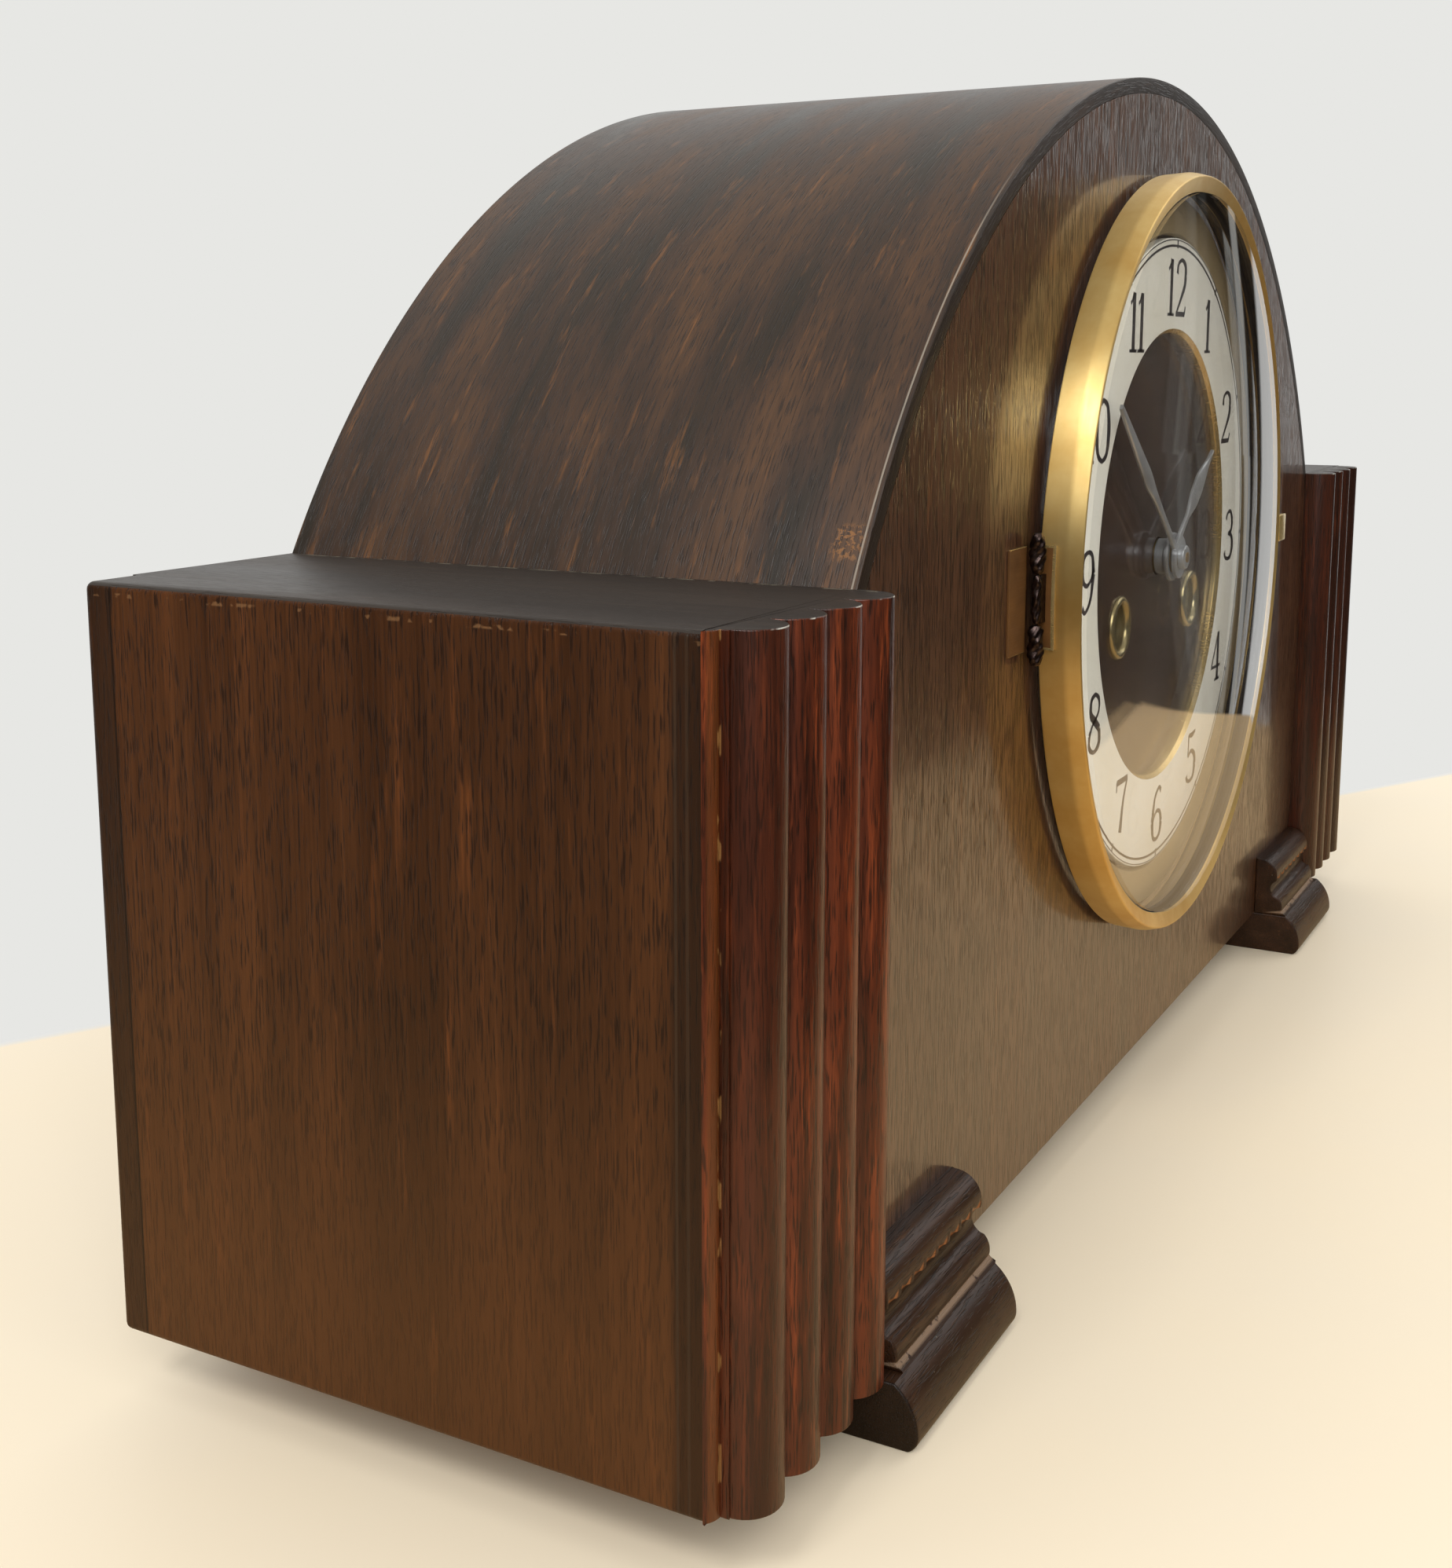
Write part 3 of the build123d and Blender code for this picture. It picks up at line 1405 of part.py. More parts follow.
with BuildPart() as pin_wheel:
    arbor(pin_at)
    back = inner_back(centre_pinion_level, pinion_length)
    toothed(
        facing(back, pin_at), pinion_length, pin_pinion_leaves, strike_module, pin_pinion_phase, leaf=True
    )
    back = inner_back(pin_wheel_level, wheel_thickness)
    toothed(facing(back, pin_at), wheel_thickness, pin_teeth, strike_module, pin_wheel_phase)
    crossed_out(back, pin_at, pitch_radius(pin_teeth, strike_module) - 2 * crossing_rim, wheel_thickness)
    for pin in range(pin_count):
        pin_place = polar(pin_at, pin_circle, pin * 360 / pin_count)
        disc(facing(back - wheel_thickness, pin_place), pin_radius, pin_length)
finish(pin_wheel, "pin_wheel")

with BuildPart() as fly:
    arbor(fly_at)
    back = inner_back(fly_pinion_level, pinion_length)
    toothed(facing(back, fly_at), pinion_length, fly_leaves, strike_module, fly_phase, leaf=True)
    with BuildSketch(facing(inner_back(vane_level, vane_length), fly_at)) as vane:
        Rectangle(2 * vane_radius, vane_thickness)
    extrude(vane.sketch, amount=vane_length)
finish(fly, "fly")

# Hammer on its arbor, with the tail that the pins lift; its head hangs midway between bob and back panel
bob_back = pendulum_at + bob_thickness / 2
hammer_arm_depth = (bob_back + back_face - back_thickness) / 2
rod_z = gong_rod_height - dial_height
head_bottom = rod_z + gong_rod_radius + hammer_rest_gap
head_x = hammer_x + hammer_head_x
with BuildPart() as hammer:
    arbor(hammer_at, hammer_arbor_radius, back=hammer_arm_depth)
    tail_back = inner_back(hammer_tail_level, hammer_tail_thickness)
    for start, back, width, thickness, end in (
        (
            hammer_at, tail_back, hammer_tail_width, hammer_tail_thickness,
            (hammer_x + hammer_tail_x, hammer_z + hammer_tail_z),
        ),
        (
            hammer_at, hammer_arm_depth + hammer_arm_thickness / 2, hammer_arm_width, hammer_arm_thickness,
            (head_x, head_bottom + hammer_head_height),
        ),
    ):
        disc(facing(back, start), hammer_hub, thickness)
        run = hypot(end[0] - start[0], end[1] - start[1])
        along = Plane(
            origin=(start[0], front_y + back, dial_z + start[1]),
            x_dir=((end[0] - start[0]) / run, 0, (end[1] - start[1]) / run),
            z_dir=(0, -1, 0),
        )
        with BuildSketch(along) as bar:
            Rectangle(run, width, align=(Align.MIN, Align.CENTER))
        extrude(bar.sketch, amount=thickness)
    with BuildSketch(Plane.XY.offset(dial_z + head_bottom)) as head:
        with Locations((head_x, front_y + hammer_arm_depth)):
            Circle(hammer_head_radius)
    extrude(head.sketch, amount=hammer_head_height)
finish(hammer, "hammer")

# Gong block on the base board, with two rods under the hammer
gong_block_x = gong_block_inset - inner_width / 2
with BuildPart() as gong_block:
    with BuildSketch(Plane.XY.offset(foot_height + base_thickness)):
        with Locations((gong_block_x, front_y + hammer_arm_depth)):
            Rectangle(gong_block_width, gong_block_depth)
    extrude(amount=gong_block_height)
finish(gong_block, "gong_block")

with BuildPart() as gong_rods:
    start_x = gong_block_x + gong_block_width / 2
    for side in (-1, 1):
        rod_plane = Plane(
            origin=(start_x, front_y + hammer_arm_depth + side * rod_gap / 2, dial_z + rod_z),
            x_dir=(0, 1, 0),
            z_dir=(1, 0, 0),
        )
        with BuildSketch(rod_plane) as rod:
            Circle(gong_rod_radius)
        extrude(rod.sketch, amount=gong_rod_end - start_x)
finish(gong_rods, "gong_rods")
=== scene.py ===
import json
from math import radians

import bmesh
import bpy
import numpy as np
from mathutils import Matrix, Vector


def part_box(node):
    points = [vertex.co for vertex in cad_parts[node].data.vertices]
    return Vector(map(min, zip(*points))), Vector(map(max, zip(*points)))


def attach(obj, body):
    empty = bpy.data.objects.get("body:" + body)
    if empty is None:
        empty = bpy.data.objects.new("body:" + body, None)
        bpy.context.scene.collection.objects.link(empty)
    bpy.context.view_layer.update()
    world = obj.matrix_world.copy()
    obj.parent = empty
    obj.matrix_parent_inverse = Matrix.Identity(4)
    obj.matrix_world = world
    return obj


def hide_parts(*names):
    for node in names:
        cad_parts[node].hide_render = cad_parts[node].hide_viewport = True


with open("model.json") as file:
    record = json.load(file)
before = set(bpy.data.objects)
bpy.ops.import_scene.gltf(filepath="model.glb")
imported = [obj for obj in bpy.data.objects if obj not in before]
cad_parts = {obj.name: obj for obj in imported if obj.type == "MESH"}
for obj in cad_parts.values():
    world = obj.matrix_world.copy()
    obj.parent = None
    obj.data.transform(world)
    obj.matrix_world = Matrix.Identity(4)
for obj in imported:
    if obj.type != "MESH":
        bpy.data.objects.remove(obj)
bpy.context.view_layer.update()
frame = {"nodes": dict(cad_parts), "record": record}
mm = 0.001
print("frame loaded,", len(frame["nodes"]), "nodes")


def addObject(name, data):
    made = bpy.data.objects.new(name, data)
    bpy.context.scene.collection.objects.link(made)
    return made


# Camera at the photograph's viewing angle, its sizes in pixels of the whole picture
cameraView = dict(
    place=(-0.3957, -0.15655, 0.1628), turnRight=61.43, tiltDown=9.10,
    focalPixels=2369.97, axisRow=834.2, pictureHeight=1996, sensorHeight=36.0, nearest=10 * mm,
)


def placeCamera(view):
    lens = bpy.data.cameras.new("photoCamera")
    lens.sensor_width = view["sensorHeight"]
    lens.lens = view["focalPixels"] * view["sensorHeight"] / view["pictureHeight"]
    lens.shift_y = view["axisRow"] / view["pictureHeight"] - 0.5
    lens.clip_start = view["nearest"]
    eye = addObject("photoCamera", lens)
    eye.location = view["place"]
    eye.rotation_euler = (radians(90 - view["tiltDown"]), 0, radians(-view["turnRight"]))
    bpy.context.scene.camera = eye


placeCamera(cameraView)
bpy.context.scene.view_settings.view_transform = "Standard"
print("camera placed")

# Places that the frame gives
caseLow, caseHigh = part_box("left_side_panel")
caseFront, caseBack = caseLow.y, caseHigh.y
caseHalf = -caseLow.x
caseFloor, shoulderTop = caseLow.z, caseHigh.z
ringLow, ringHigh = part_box("bezel_ring")
dialX = (ringLow.x + ringHigh.x) / 2
dialZ = (ringLow.z + ringHigh.z) / 2


# Node helpers
def paint(red, green, blue):
    # a colour as a screen shows it, 0 to 255, turned into the light values that shaders use
    shown = np.array([red, green, blue]) / 255
    light = np.where(shown <= 0.04045, shown / 12.92, ((shown + 0.055) / 1.055) ** 2.4)
    return (*light.tolist(), 1.0)


def setInputs(tree, node, values):
    # a constant is set on the socket itself, and a worked-out value is linked to it
    for key, value in values.items():
        if isinstance(value, bpy.types.NodeSocket):
            tree.links.new(value, node.inputs[key])
        else:
            node.inputs[key].default_value = value


def addNode(tree, kind, inputs=None, **settings):
    made = tree.nodes.new("ShaderNode" + kind)
    for key, value in settings.items():
        setattr(made, key, value)
    setInputs(tree, made, inputs or {})
    return made


def calculate(tree, operation, first, second=0.0, clamp=False):
    return addNode(tree, "Math", {0: first, 1: second}, operation=operation, use_clamp=clamp).outputs[0]


def times(tree, first, second):
    return calculate(tree, "MULTIPLY", first, second)


def blendColours(tree, share, first, second, way="MIX"):
    return addNode(tree, "Mix", {0: share, 6: first, 7: second}, data_type="RGBA", blend_type=way).outputs[2]


def mixShaders(tree, share, first, second):
    return addNode(tree, "MixShader", {0: share, 1: first.outputs[0], 2: second.outputs[0]})


def showShader(tree, shader):
    tree.links.new(shader.outputs[0], tree.nodes["Material Output"].inputs["Surface"])


def spread(tree, value, low, high, toLow=0.0, toHigh=1.0):
    ranges = {"Value": value, "From Min": low, "From Max": high, "To Min": toLow, "To Max": toHigh}
    return addNode(tree, "MapRange", ranges).outputs[0]


def stepAt(tree, value, place, half, *ends):
    return spread(tree, value, place - half, place + half, *ends)


def colourRamp(tree, value, stops):
    made = addNode(tree, "ValToRGB", {"Fac": value})
    line = made.color_ramp.elements
    while len(line) < len(stops):
        line.new(0.5)
    for element, stop in zip(line, stops):
        element.position, element.color = stop
    return made.outputs[0]


def stretchedNoise(tree, base, sizes, detail=2.0, rough=0.5, shift=0.0):
    # a noise whose blobs have the given sizes along x, y and z, in millimetres
    scale = [1 / (size * mm) for size in sizes]
    place = addNode(tree, "Mapping", {"Vector": base, "Scale": scale, "Location": (shift, shift, shift)})
    settings = {"Vector": place.outputs[0], "Scale": 1.0, "Detail": detail, "Roughness": rough}
    return addNode(tree, "TexNoise", settings).outputs[0]


def newMaterial(name):
    made = bpy.data.materials.new(name)
    made.use_nodes = True
    tree = made.node_tree
    return made, tree, tree.nodes["Principled BSDF"]


def surfacePlaces(tree, pattern="Object"):
    return addNode(tree, "TexCoord").outputs[pattern]


def bumpFrom(tree, height, depth):
    return addNode(tree, "Bump", {"Height": height, "Distance": depth * mm, "Strength": 1.0}).outputs[0]


# Marks: worn, darkened or spotted places on the wood, and some painted shade and painted highlights
def mark(colour, strength, *limits, broken=None):
    # each limit is a way, a low and a high place and the width of the fading edge, in millimetres
    return dict(colour=paint(*colour), strength=strength, limits=limits, broken=broken)


def markPlace(tree, way):
    # a mark is placed along x, y or z, along the distance from the middle, or along the piece's own flat places
    axes = "uv" if way in "uv" else "xyz"
    parts = addNode(tree, "SeparateXYZ", {"Vector": surfacePlaces(tree, "UV" if way in "uv" else "Object")}).outputs
    return calculate(tree, "ABSOLUTE", parts[0]) if way == "aside" else parts[axes.index(way)]


def markShare(tree, base, spot):
    # one between the low and high limit of each way, fading over the edge, and broken up by a noise
    share = spot["strength"]
    for way, low, high, edge in spot["limits"]:
        place = markPlace(tree, way)
        share = times(tree, share, spread(tree, place, (low - edge) * mm, low * mm))
        share = times(tree, share, spread(tree, place, high * mm, (high + edge) * mm, 1.0, 0.0))
    if spot["broken"]:
        size, least = spot["broken"]
        noise = stretchedNoise(tree, base, size, 2.0, 0.6, 17.0)
        share = times(tree, share, spread(tree, noise, least, least + 0.06))
    return share


# Wood: cloudy bands, fibres and short dark pores, all drawn out along the grain
def makeWood(name, look, pattern="Object"):
    made, tree, shader = newMaterial(name)
    base = surfacePlaces(tree, pattern)

    def grainNoise(part, *settings):
        across, along = look[part]
        sizes = [across, across, across]
        sizes[look["grain"]] = along
        return stretchedNoise(tree, base, sizes, *settings)

    bands = grainNoise("bands", 3.0, 0.6)
    fibres = grainNoise("fibres", 3.0, 0.6, 3.0)
    pores = grainNoise("pores", 1.0, 0.5, 7.0)
    flecks = grainNoise("flecks", 4.0, 0.7, 11.0)
    away, warmest, depth = look["bandSpread"], 1 - look["fleckShare"], look["fibreDepth"]
    stops = [(0.5 - away, "dark"), (0.5, "middle"), (0.5 + away, "pale")]
    colour = colourRamp(tree, bands, [(place, paint(*look[tone])) for place, tone in stops])
    warm = spread(tree, flecks, warmest, warmest + 0.18)
    colour = blendColours(tree, warm, colour, paint(*look["fleckColour"]))
    colour = blendColours(tree, 1.0, colour, spread(tree, fibres, 0.3, 0.7, 1 - depth, 1 + depth), "MULTIPLY")
    pits = spread(tree, pores, 0.5 + look["poreShare"], 0.62 + look["poreShare"])
    colour = blendColours(tree, times(tree, pits, look["poreDepth"]), colour, paint(*look["poreColour"]))
    for spot in look["marks"]:
        colour = blendColours(tree, markShare(tree, base, spot), colour, spot["colour"])
    height = calculate(tree, "SUBTRACT", times(tree, fibres, 0.4), pits)
    surface = {
        "Base Color": colour,
        "Roughness": spread(tree, bands, 0.3, 0.7, *look["roughness"]),
        "Normal": bumpFrom(tree, height, look["bump"]),
        "Coat Normal": bumpFrom(tree, height, look["bump"] * 0.3),
        "Coat Weight": look["coat"],
        "Coat Roughness": look["coatRoughness"],
        "Specular IOR Level": look["shine"],
    }
    setInputs(tree, shader, surface)
    return made


caseLook = dict(
    grain=2, bands=(16, 170), bandSpread=0.24, fibres=(0.55, 30), fibreDepth=0.22,
    pores=(0.3, 4.5), poreShare=0.04, poreDepth=0.7, flecks=(3.5, 45), fleckShare=0.42,
    dark=(46, 25, 10), middle=(62, 34, 13), pale=(80, 45, 17), fleckColour=(94, 51, 19), poreColour=(26, 15, 9),
    roughness=(0.34, 0.46), bump=0.05, coat=0.0, coatRoughness=0.16, shine=0.22,
    marks=(
        # painted light: the lower part of the side is warmer and lighter, standing in for light bounced up from the
        # floor
        mark((92, 56, 26), 0.45, ("z", -20, 24, 50)),
        mark((34, 22, 13), 0.6, ("y", 53.8, 70, 0.4)),
        mark((22, 14, 8), 0.8, ("y", 53.4, 53.7, 0.1)),
        # painted shade: a darker band along the side's front edge
        mark((28, 18, 11), 0.65, ("y", -46.5, -42.6, 1.2)),
        mark((64, 48, 34), 0.5, ("y", -42.9, -42.6, 0.1)),
        mark((64, 48, 34), 0.4, ("y", -44.6, -44.3, 0.15)),
        mark((128, 92, 58), 0.5, ("z", 128.0, 128.4, 0.2), broken=((2.4, 2.4, 2.4), 0.58)),
    ),
)
caseVeneer = makeWood("caseVeneer", caseLook)
archLook = dict(
    caseLook, grain=0, bands=(13, 75), bandSpread=0.13, flecks=(2.4, 22), fleckShare=0.43,
    dark=(36, 26, 14), middle=(56, 36, 21), pale=(76, 49, 25), fleckColour=(112, 70, 29),
    roughness=(0.38, 0.5), coat=0.2, coatRoughness=0.3, shine=0.35,
    marks=(
        mark((30, 21, 15), 0.6, ("v", -1, 0.4, 0.3)),
        # painted highlight: a pale line along the arch's front edge near its left foot
        mark((176, 166, 150), 0.5, ("v", 0.9, 1.1, 0.1), ("u", -190, -120, 30)),
        mark((34, 25, 19), 0.8, ("v", 211, 250, 0.5)),
        mark((150, 98, 42), 0.6, ("u", -181, -177, 1.5), ("v", 2, 5, 1.5), broken=((0.9, 0.9, 0.9), 0.5)),
        mark((196, 190, 178), 0.7, broken=((0.7, 0.7, 0.7), 0.8)),
    ),
)
archVeneer = makeWood("archVeneer", archLook, "UV")
frontLook = dict(
    caseLook, bands=(22, 200), pores=(0.35, 6), poreShare=0.02, poreDepth=0.8, fibreDepth=0.28,
    dark=(56, 36, 24), middle=(74, 47, 30), pale=(90, 58, 36), fleckColour=(102, 63, 35),
    roughness=(0.3, 0.4), bump=0.08, coat=0.85, coatRoughness=0.09, shine=0.4,
    marks=(
        mark((24, 15, 10), 0.9, ("x", 2.9, 3.2, 0.15), ("z", 12, 31, 0.5), broken=((2, 2, 3), 0.4)),
        mark((196, 190, 178), 0.7, broken=((0.7, 0.7, 0.7), 0.8)),
    ),
)
frontVeneer = makeWood("frontVeneer", frontLook)
shoulderLook = dict(
    caseLook, grain=1, dark=(36, 29, 24), middle=(46, 37, 30), pale=(55, 44, 35), fleckColour=(60, 48, 37),
    poreDepth=0.3, roughness=(0.42, 0.5), shine=0.4,
    marks=(
        mark((140, 132, 112), 0.5, ("aside", 154.6, 155.1, 0.3), broken=((3, 3, 3), 0.48)),
        mark((190, 184, 170), 0.6, broken=((0.9, 0.9, 0.9), 0.78)),
    ),
)
shoulderVeneer = makeWood("shoulderVeneer", shoulderLook)
pilasterLook = dict(
    caseLook, bands=(3.2, 70), bandSpread=0.18, flecks=(1.4, 26), fleckShare=0.47,
    dark=(42, 16, 6), middle=(76, 30, 10), pale=(104, 43, 14), fleckColour=(128, 56, 20),
    roughness=(0.32, 0.42), coat=0.45, coatRoughness=0.24,
    marks=(
        # painted shade: the outer bead beside the corner is darker on both pilasters
        mark((40, 18, 9), 0.6, ("aside", 189.5, 197.2, 2.5)),
        mark((104, 58, 22), 0.4, ("aside", 197.9, 199.4, 0.3)),
        # painted shade: the whole right pilaster is darker than the left one
        mark((34, 19, 12), 0.7, ("x", 150, 201, 0.5)),
        # painted highlight: pale glints on the worn top ends of the beads
        mark((200, 200, 190), 0.7, ("z", 129.7, 131, 0.1), ("y", -55, -53.4, 0.3), broken=((3, 3, 3), 0.47)),
        # painted highlight: a broken pale line along the crest of the corner bead
        mark((160, 118, 68), 0.5, ("aside", 197.3, 198.0, 0.1), ("y", -47.9, -47.7, 0.08), broken=((2, 2, 5), 0.54)),
    ),
)
pilasterWood = makeWood("pilasterWood", pilasterLook)
footLook = dict(
    caseLook, grain=0, bands=(5, 50), flecks=(1.5, 12), fleckShare=0.38,
    dark=(34, 21, 12), middle=(52, 32, 19), pale=(68, 43, 26), fleckColour=(88, 55, 30),
    roughness=(0.32, 0.44), coat=0.15,
    marks=(
        mark((150, 94, 52), 0.8, ("v", 0.3, 2, 0.2)),
        mark((150, 124, 100), 0.65, ("u", 0.6, 2, 0.3), broken=((2.5, 2.5, 2.5), 0.36)),
        mark((22, 15, 10), 0.75, ("aside", 156.2, 158, 0.15)),
        mark((196, 180, 152), 0.7, broken=((0.9, 0.9, 0.9), 0.76)),
    ),
)
footWood = makeWood("footWood", footLook)
innerLook = dict(
    caseLook, bands=(9, 140), dark=(96, 66, 42), middle=(122, 86, 55), pale=(148, 108, 70),
    fleckColour=(160, 118, 78), poreColour=(70, 46, 30), roughness=(0.5, 0.62), shine=0.3, marks=(),
)
innerWood = makeWood("innerWood", innerLook)
backWood = makeWood("backWood", dict(innerLook, dark=(62, 40, 26), middle=(82, 54, 35), pale=(98, 68, 44)))
print("woods made")


# Metals: soft tarnish clouds over the colour, and brushing drawn out along one way of the surface
def makeMetal(name, look, pattern="Object"):
    made, tree, shader = newMaterial(name)
    base = surfacePlaces(tree, pattern)
    clouds = stretchedNoise(tree, base, [look["clouds"]] * 3, 4.0, 0.6)
    brushing = stretchedNoise(tree, base, look["brushing"], 3.0, 0.6, 5.0)
    tones = paint(*look["colour"]), paint(*look["tarnish"])
    wear = times(tree, calculate(tree, "ADD", clouds, brushing), 0.5)
    surface = {
        "Base Color": blendColours(tree, spread(tree, clouds, 0.35, 0.7), *tones),
        "Roughness": spread(tree, wear, 0.35, 0.65, *look["roughness"]),
        "Normal": bumpFrom(tree, brushing, look["bump"]),
        "Metallic": look["metal"],
    }
    if "across" in look:
        # gloss spreads across the brushing, which runs along the first of the surface's flat places
        surface["Tangent"] = addNode(tree, "Tangent", direction_type="UV_MAP").outputs[0]
        surface["Anisotropic"] = look["across"]
        surface["Anisotropic Rotation"] = 0.25
    setInputs(tree, shader, surface)
    return made


metalLook = dict(
    colour=(228, 192, 120), tarnish=(210, 164, 90), clouds=14, brushing=(9, 0.25, 9),
    roughness=(0.3, 0.42), bump=0.012, metal=1.0,
)
bezelLook = dict(
    metalLook, colour=(246, 214, 142), tarnish=(232, 190, 112), roughness=(0.4, 0.5), metal=0.9, across=0.8,
)
brightLook = dict(
    metalLook, colour=(238, 212, 150), tarnish=(220, 186, 116), brushing=(0.4, 3, 0.4),
    roughness=(0.18, 0.3), bump=0.006, metal=0.8,
)
eyeletLook = dict(
    metalLook, colour=(214, 200, 156), tarnish=(178, 160, 112), brushing=(8, 8, 8),
    roughness=(0.2, 0.26), bump=0.001, metal=0.9,
)
movementLook = dict(
    metalLook, colour=(214, 178, 104), tarnish=(182, 138, 70), clouds=22, brushing=(12, 12, 0.35),
    roughness=(0.28, 0.44),
)
steelLook = dict(
    metalLook, colour=(176, 178, 182), tarnish=(138, 136, 136), clouds=10, brushing=(6, 0.3, 6),
    roughness=(0.22, 0.38),
)
bronzeLook = dict(
    metalLook, colour=(92, 78, 74), tarnish=(40, 31, 30), clouds=1.2, brushing=(1, 1, 0.4),
    roughness=(0.28, 0.42), bump=0.06,
)
leafLook = dict(
    metalLook, colour=(112, 76, 40), tarnish=(90, 60, 32), clouds=9, brushing=(6, 6, 0.3),
    roughness=(0.36, 0.46), metal=0.2,
)
silverLook = dict(
    metalLook, colour=(196, 198, 200), tarnish=(168, 168, 166), clouds=8, brushing=(0.4, 0.4, 6),
    roughness=(0.34, 0.46), bump=0.004, metal=0.75,
)
bezelBrass = makeMetal("bezelBrass", bezelLook, "UV")
brightBrass = makeMetal("brightBrass", brightLook)
paleBrass = makeMetal("paleBrass", eyeletLook)
movementBrass = makeMetal("movementBrass", movementLook)
steelMetal = makeMetal("steelMetal", steelLook)
hingeBronze = makeMetal("hingeBronze", bronzeLook)
leafBrass = makeMetal("leafBrass", leafLook)
handSilver = makeMetal("handSilver", silverLook)


# Painted and lacquered dial parts: a fine speckle in the colour and an orange-peel surface
def makePaint(name, look):
    made, tree, shader = newMaterial(name)
    base = surfacePlaces(tree)
    clouds = stretchedNoise(tree, base, [look["clouds"]] * 3, 4.0, 0.6)
    grains = stretchedNoise(tree, base, [look["grains"]] * 3, 2.0, 0.5, 4.0)
    tones = paint(*look["colour"]), paint(*look["aged"])
    colour = blendColours(tree, spread(tree, clouds, 0.35, 0.65), *tones)
    speck = spread(tree, grains, 0.3, 0.7, 1 - look["speckle"], 1 + look["speckle"])
    surface = {
        "Base Color": blendColours(tree, 1.0, colour, speck, "MULTIPLY"),
        "Roughness": spread(tree, clouds, 0.3, 0.7, *look["roughness"]),
        "Normal": bumpFrom(tree, grains, look["bump"]),
        "Metallic": look["metal"],
        "Coat Weight": look["coat"],
        "Coat Roughness": 0.05,
    }
    setInputs(tree, shader, surface)
    return made


chapterLook = dict(
    colour=(228, 227, 219), aged=(219, 216, 203), clouds=30, grains=0.5, speckle=0.02,
    roughness=(0.34, 0.44), bump=0.01, metal=0.0, coat=0.2,
)
centreLook = dict(
    chapterLook, colour=(52, 38, 30), aged=(42, 30, 24), speckle=0.12, roughness=(0.18, 0.26), coat=0.4,
)
marginLook = dict(chapterLook, colour=(172, 154, 120), aged=(160, 140, 104), speckle=0.06, metal=0.45)
# painted shade: a dark paint put on the bezel's bore and the margin ring's outer flank, where the gap behind the bezel
# lies in shadow
paintedShadeLook = dict(chapterLook, colour=(30, 22, 17), aged=(22, 16, 12), roughness=(0.75, 0.85), coat=0.0)
inkLook = dict(chapterLook, colour=(40, 36, 40), aged=(52, 46, 48), grains=0.3)
chapterPaint = makePaint("chapterPaint", chapterLook)
centreLacquer = makePaint("centreLacquer", centreLook)
marginPaint = makePaint("marginPaint", marginLook)
paintedShade = makePaint("paintedShade", paintedShadeLook)
numeralInk = makePaint("numeralInk", inkLook)


# Thin clear glass: nothing bends on its way through, the coat mirrors, and lamps shine through it
def makeGlass(name):
    made, tree, shader = newMaterial(name)
    smears = stretchedNoise(tree, surfacePlaces(tree), (18, 18, 30), 4.0, 0.7)
    dust = spread(tree, smears, 0.45, 0.75, 0.0, 0.5)
    surface = {
        "Base Color": blendColours(tree, dust, (1, 1, 1, 1), (0.93, 0.94, 0.92, 1)),
        "Transmission Weight": 1.0,
        "Roughness": 0.0,
        "IOR": 1.0,
        "Coat Weight": 1.0,
        "Coat Roughness": 0.01,
        "Coat IOR": 1.5,
    }
    setInputs(tree, shader, surface)
    shadowRay = addNode(tree, "LightPath").outputs["Is Shadow Ray"]
    showShader(tree, mixShaders(tree, shadowRay, shader, addNode(tree, "BsdfTransparent")))
    return made


clearGlass = makeGlass("clearGlass")
print("metals, paints and glass made")

# Every node of the frame gets the finish of its slot, and some pieces of wood their own
slotFinish = dict(
    case_veneer=caseVeneer, pilaster_wood=pilasterWood, foot_wood=footWood, inner_wood=innerWood,
    bezel_brass=bezelBrass, bright_brass=brightBrass, movement_brass=movementBrass, steel=steelMetal,
    glass=clearGlass, dial_bronze=centreLacquer, dial_margin=marginPaint, chapter_white=chapterPaint,
    hand_silver=handSilver,
)
nodeFinish = dict(
    front_panel=frontVeneer, left_shoulder_top=shoulderVeneer, right_shoulder_top=shoulderVeneer,
    back_panel=backWood, back_door=backWood,
    bezel_tab=brightBrass, bezel_hinge_frame=brightBrass, bezel_leaf=brightBrass,
)
for part in frame["record"]["subparts"]:
    materials = frame["nodes"][part["node"]].data.materials
    materials.clear()
    materials.append(nodeFinish.get(part["node"], slotFinish[part["material_slot"]]))
print("frame nodes dressed")


# Shape helpers
def dialPlaces(aside, out, up):
    # places from millimetres aside from the dial's middle, out of the panel and up
    return np.stack(np.broadcast_arrays(dialX + aside * mm, caseFront - out * mm, dialZ + up * mm), -1)


def gridFaces(rows, columns):
    # quads between neighbouring rows and columns of points numbered row by row
    corner = np.arange(rows - 1)[:, None] * columns + np.arange(columns - 1)
    return np.stack([corner, corner + 1, corner + columns + 1, corner + columns], -1).reshape(-1, 4).tolist()


def arcThrough(start, middle, end, steps):
    # points on the circle through three points: its centre is where the chords' middle lines cross
    start, middle, end = (np.array(point, float) for point in (start, middle, end))
    sides = 2 * np.array([middle - start, end - start])
    centre = np.linalg.solve(sides, [middle @ middle - start @ start, end @ end - start @ start])
    first, *others = [np.arctan2(*(point - centre)[::-1]) for point in (start, middle, end)]
    through, last = ((angle - first) % (2 * np.pi) for angle in others)
    sweep = last if through < last else last - 2 * np.pi
    turn = first + sweep * np.linspace(0, 1, steps)
    return centre + np.linalg.norm(start - centre) * np.stack([np.cos(turn), np.sin(turn)], -1)


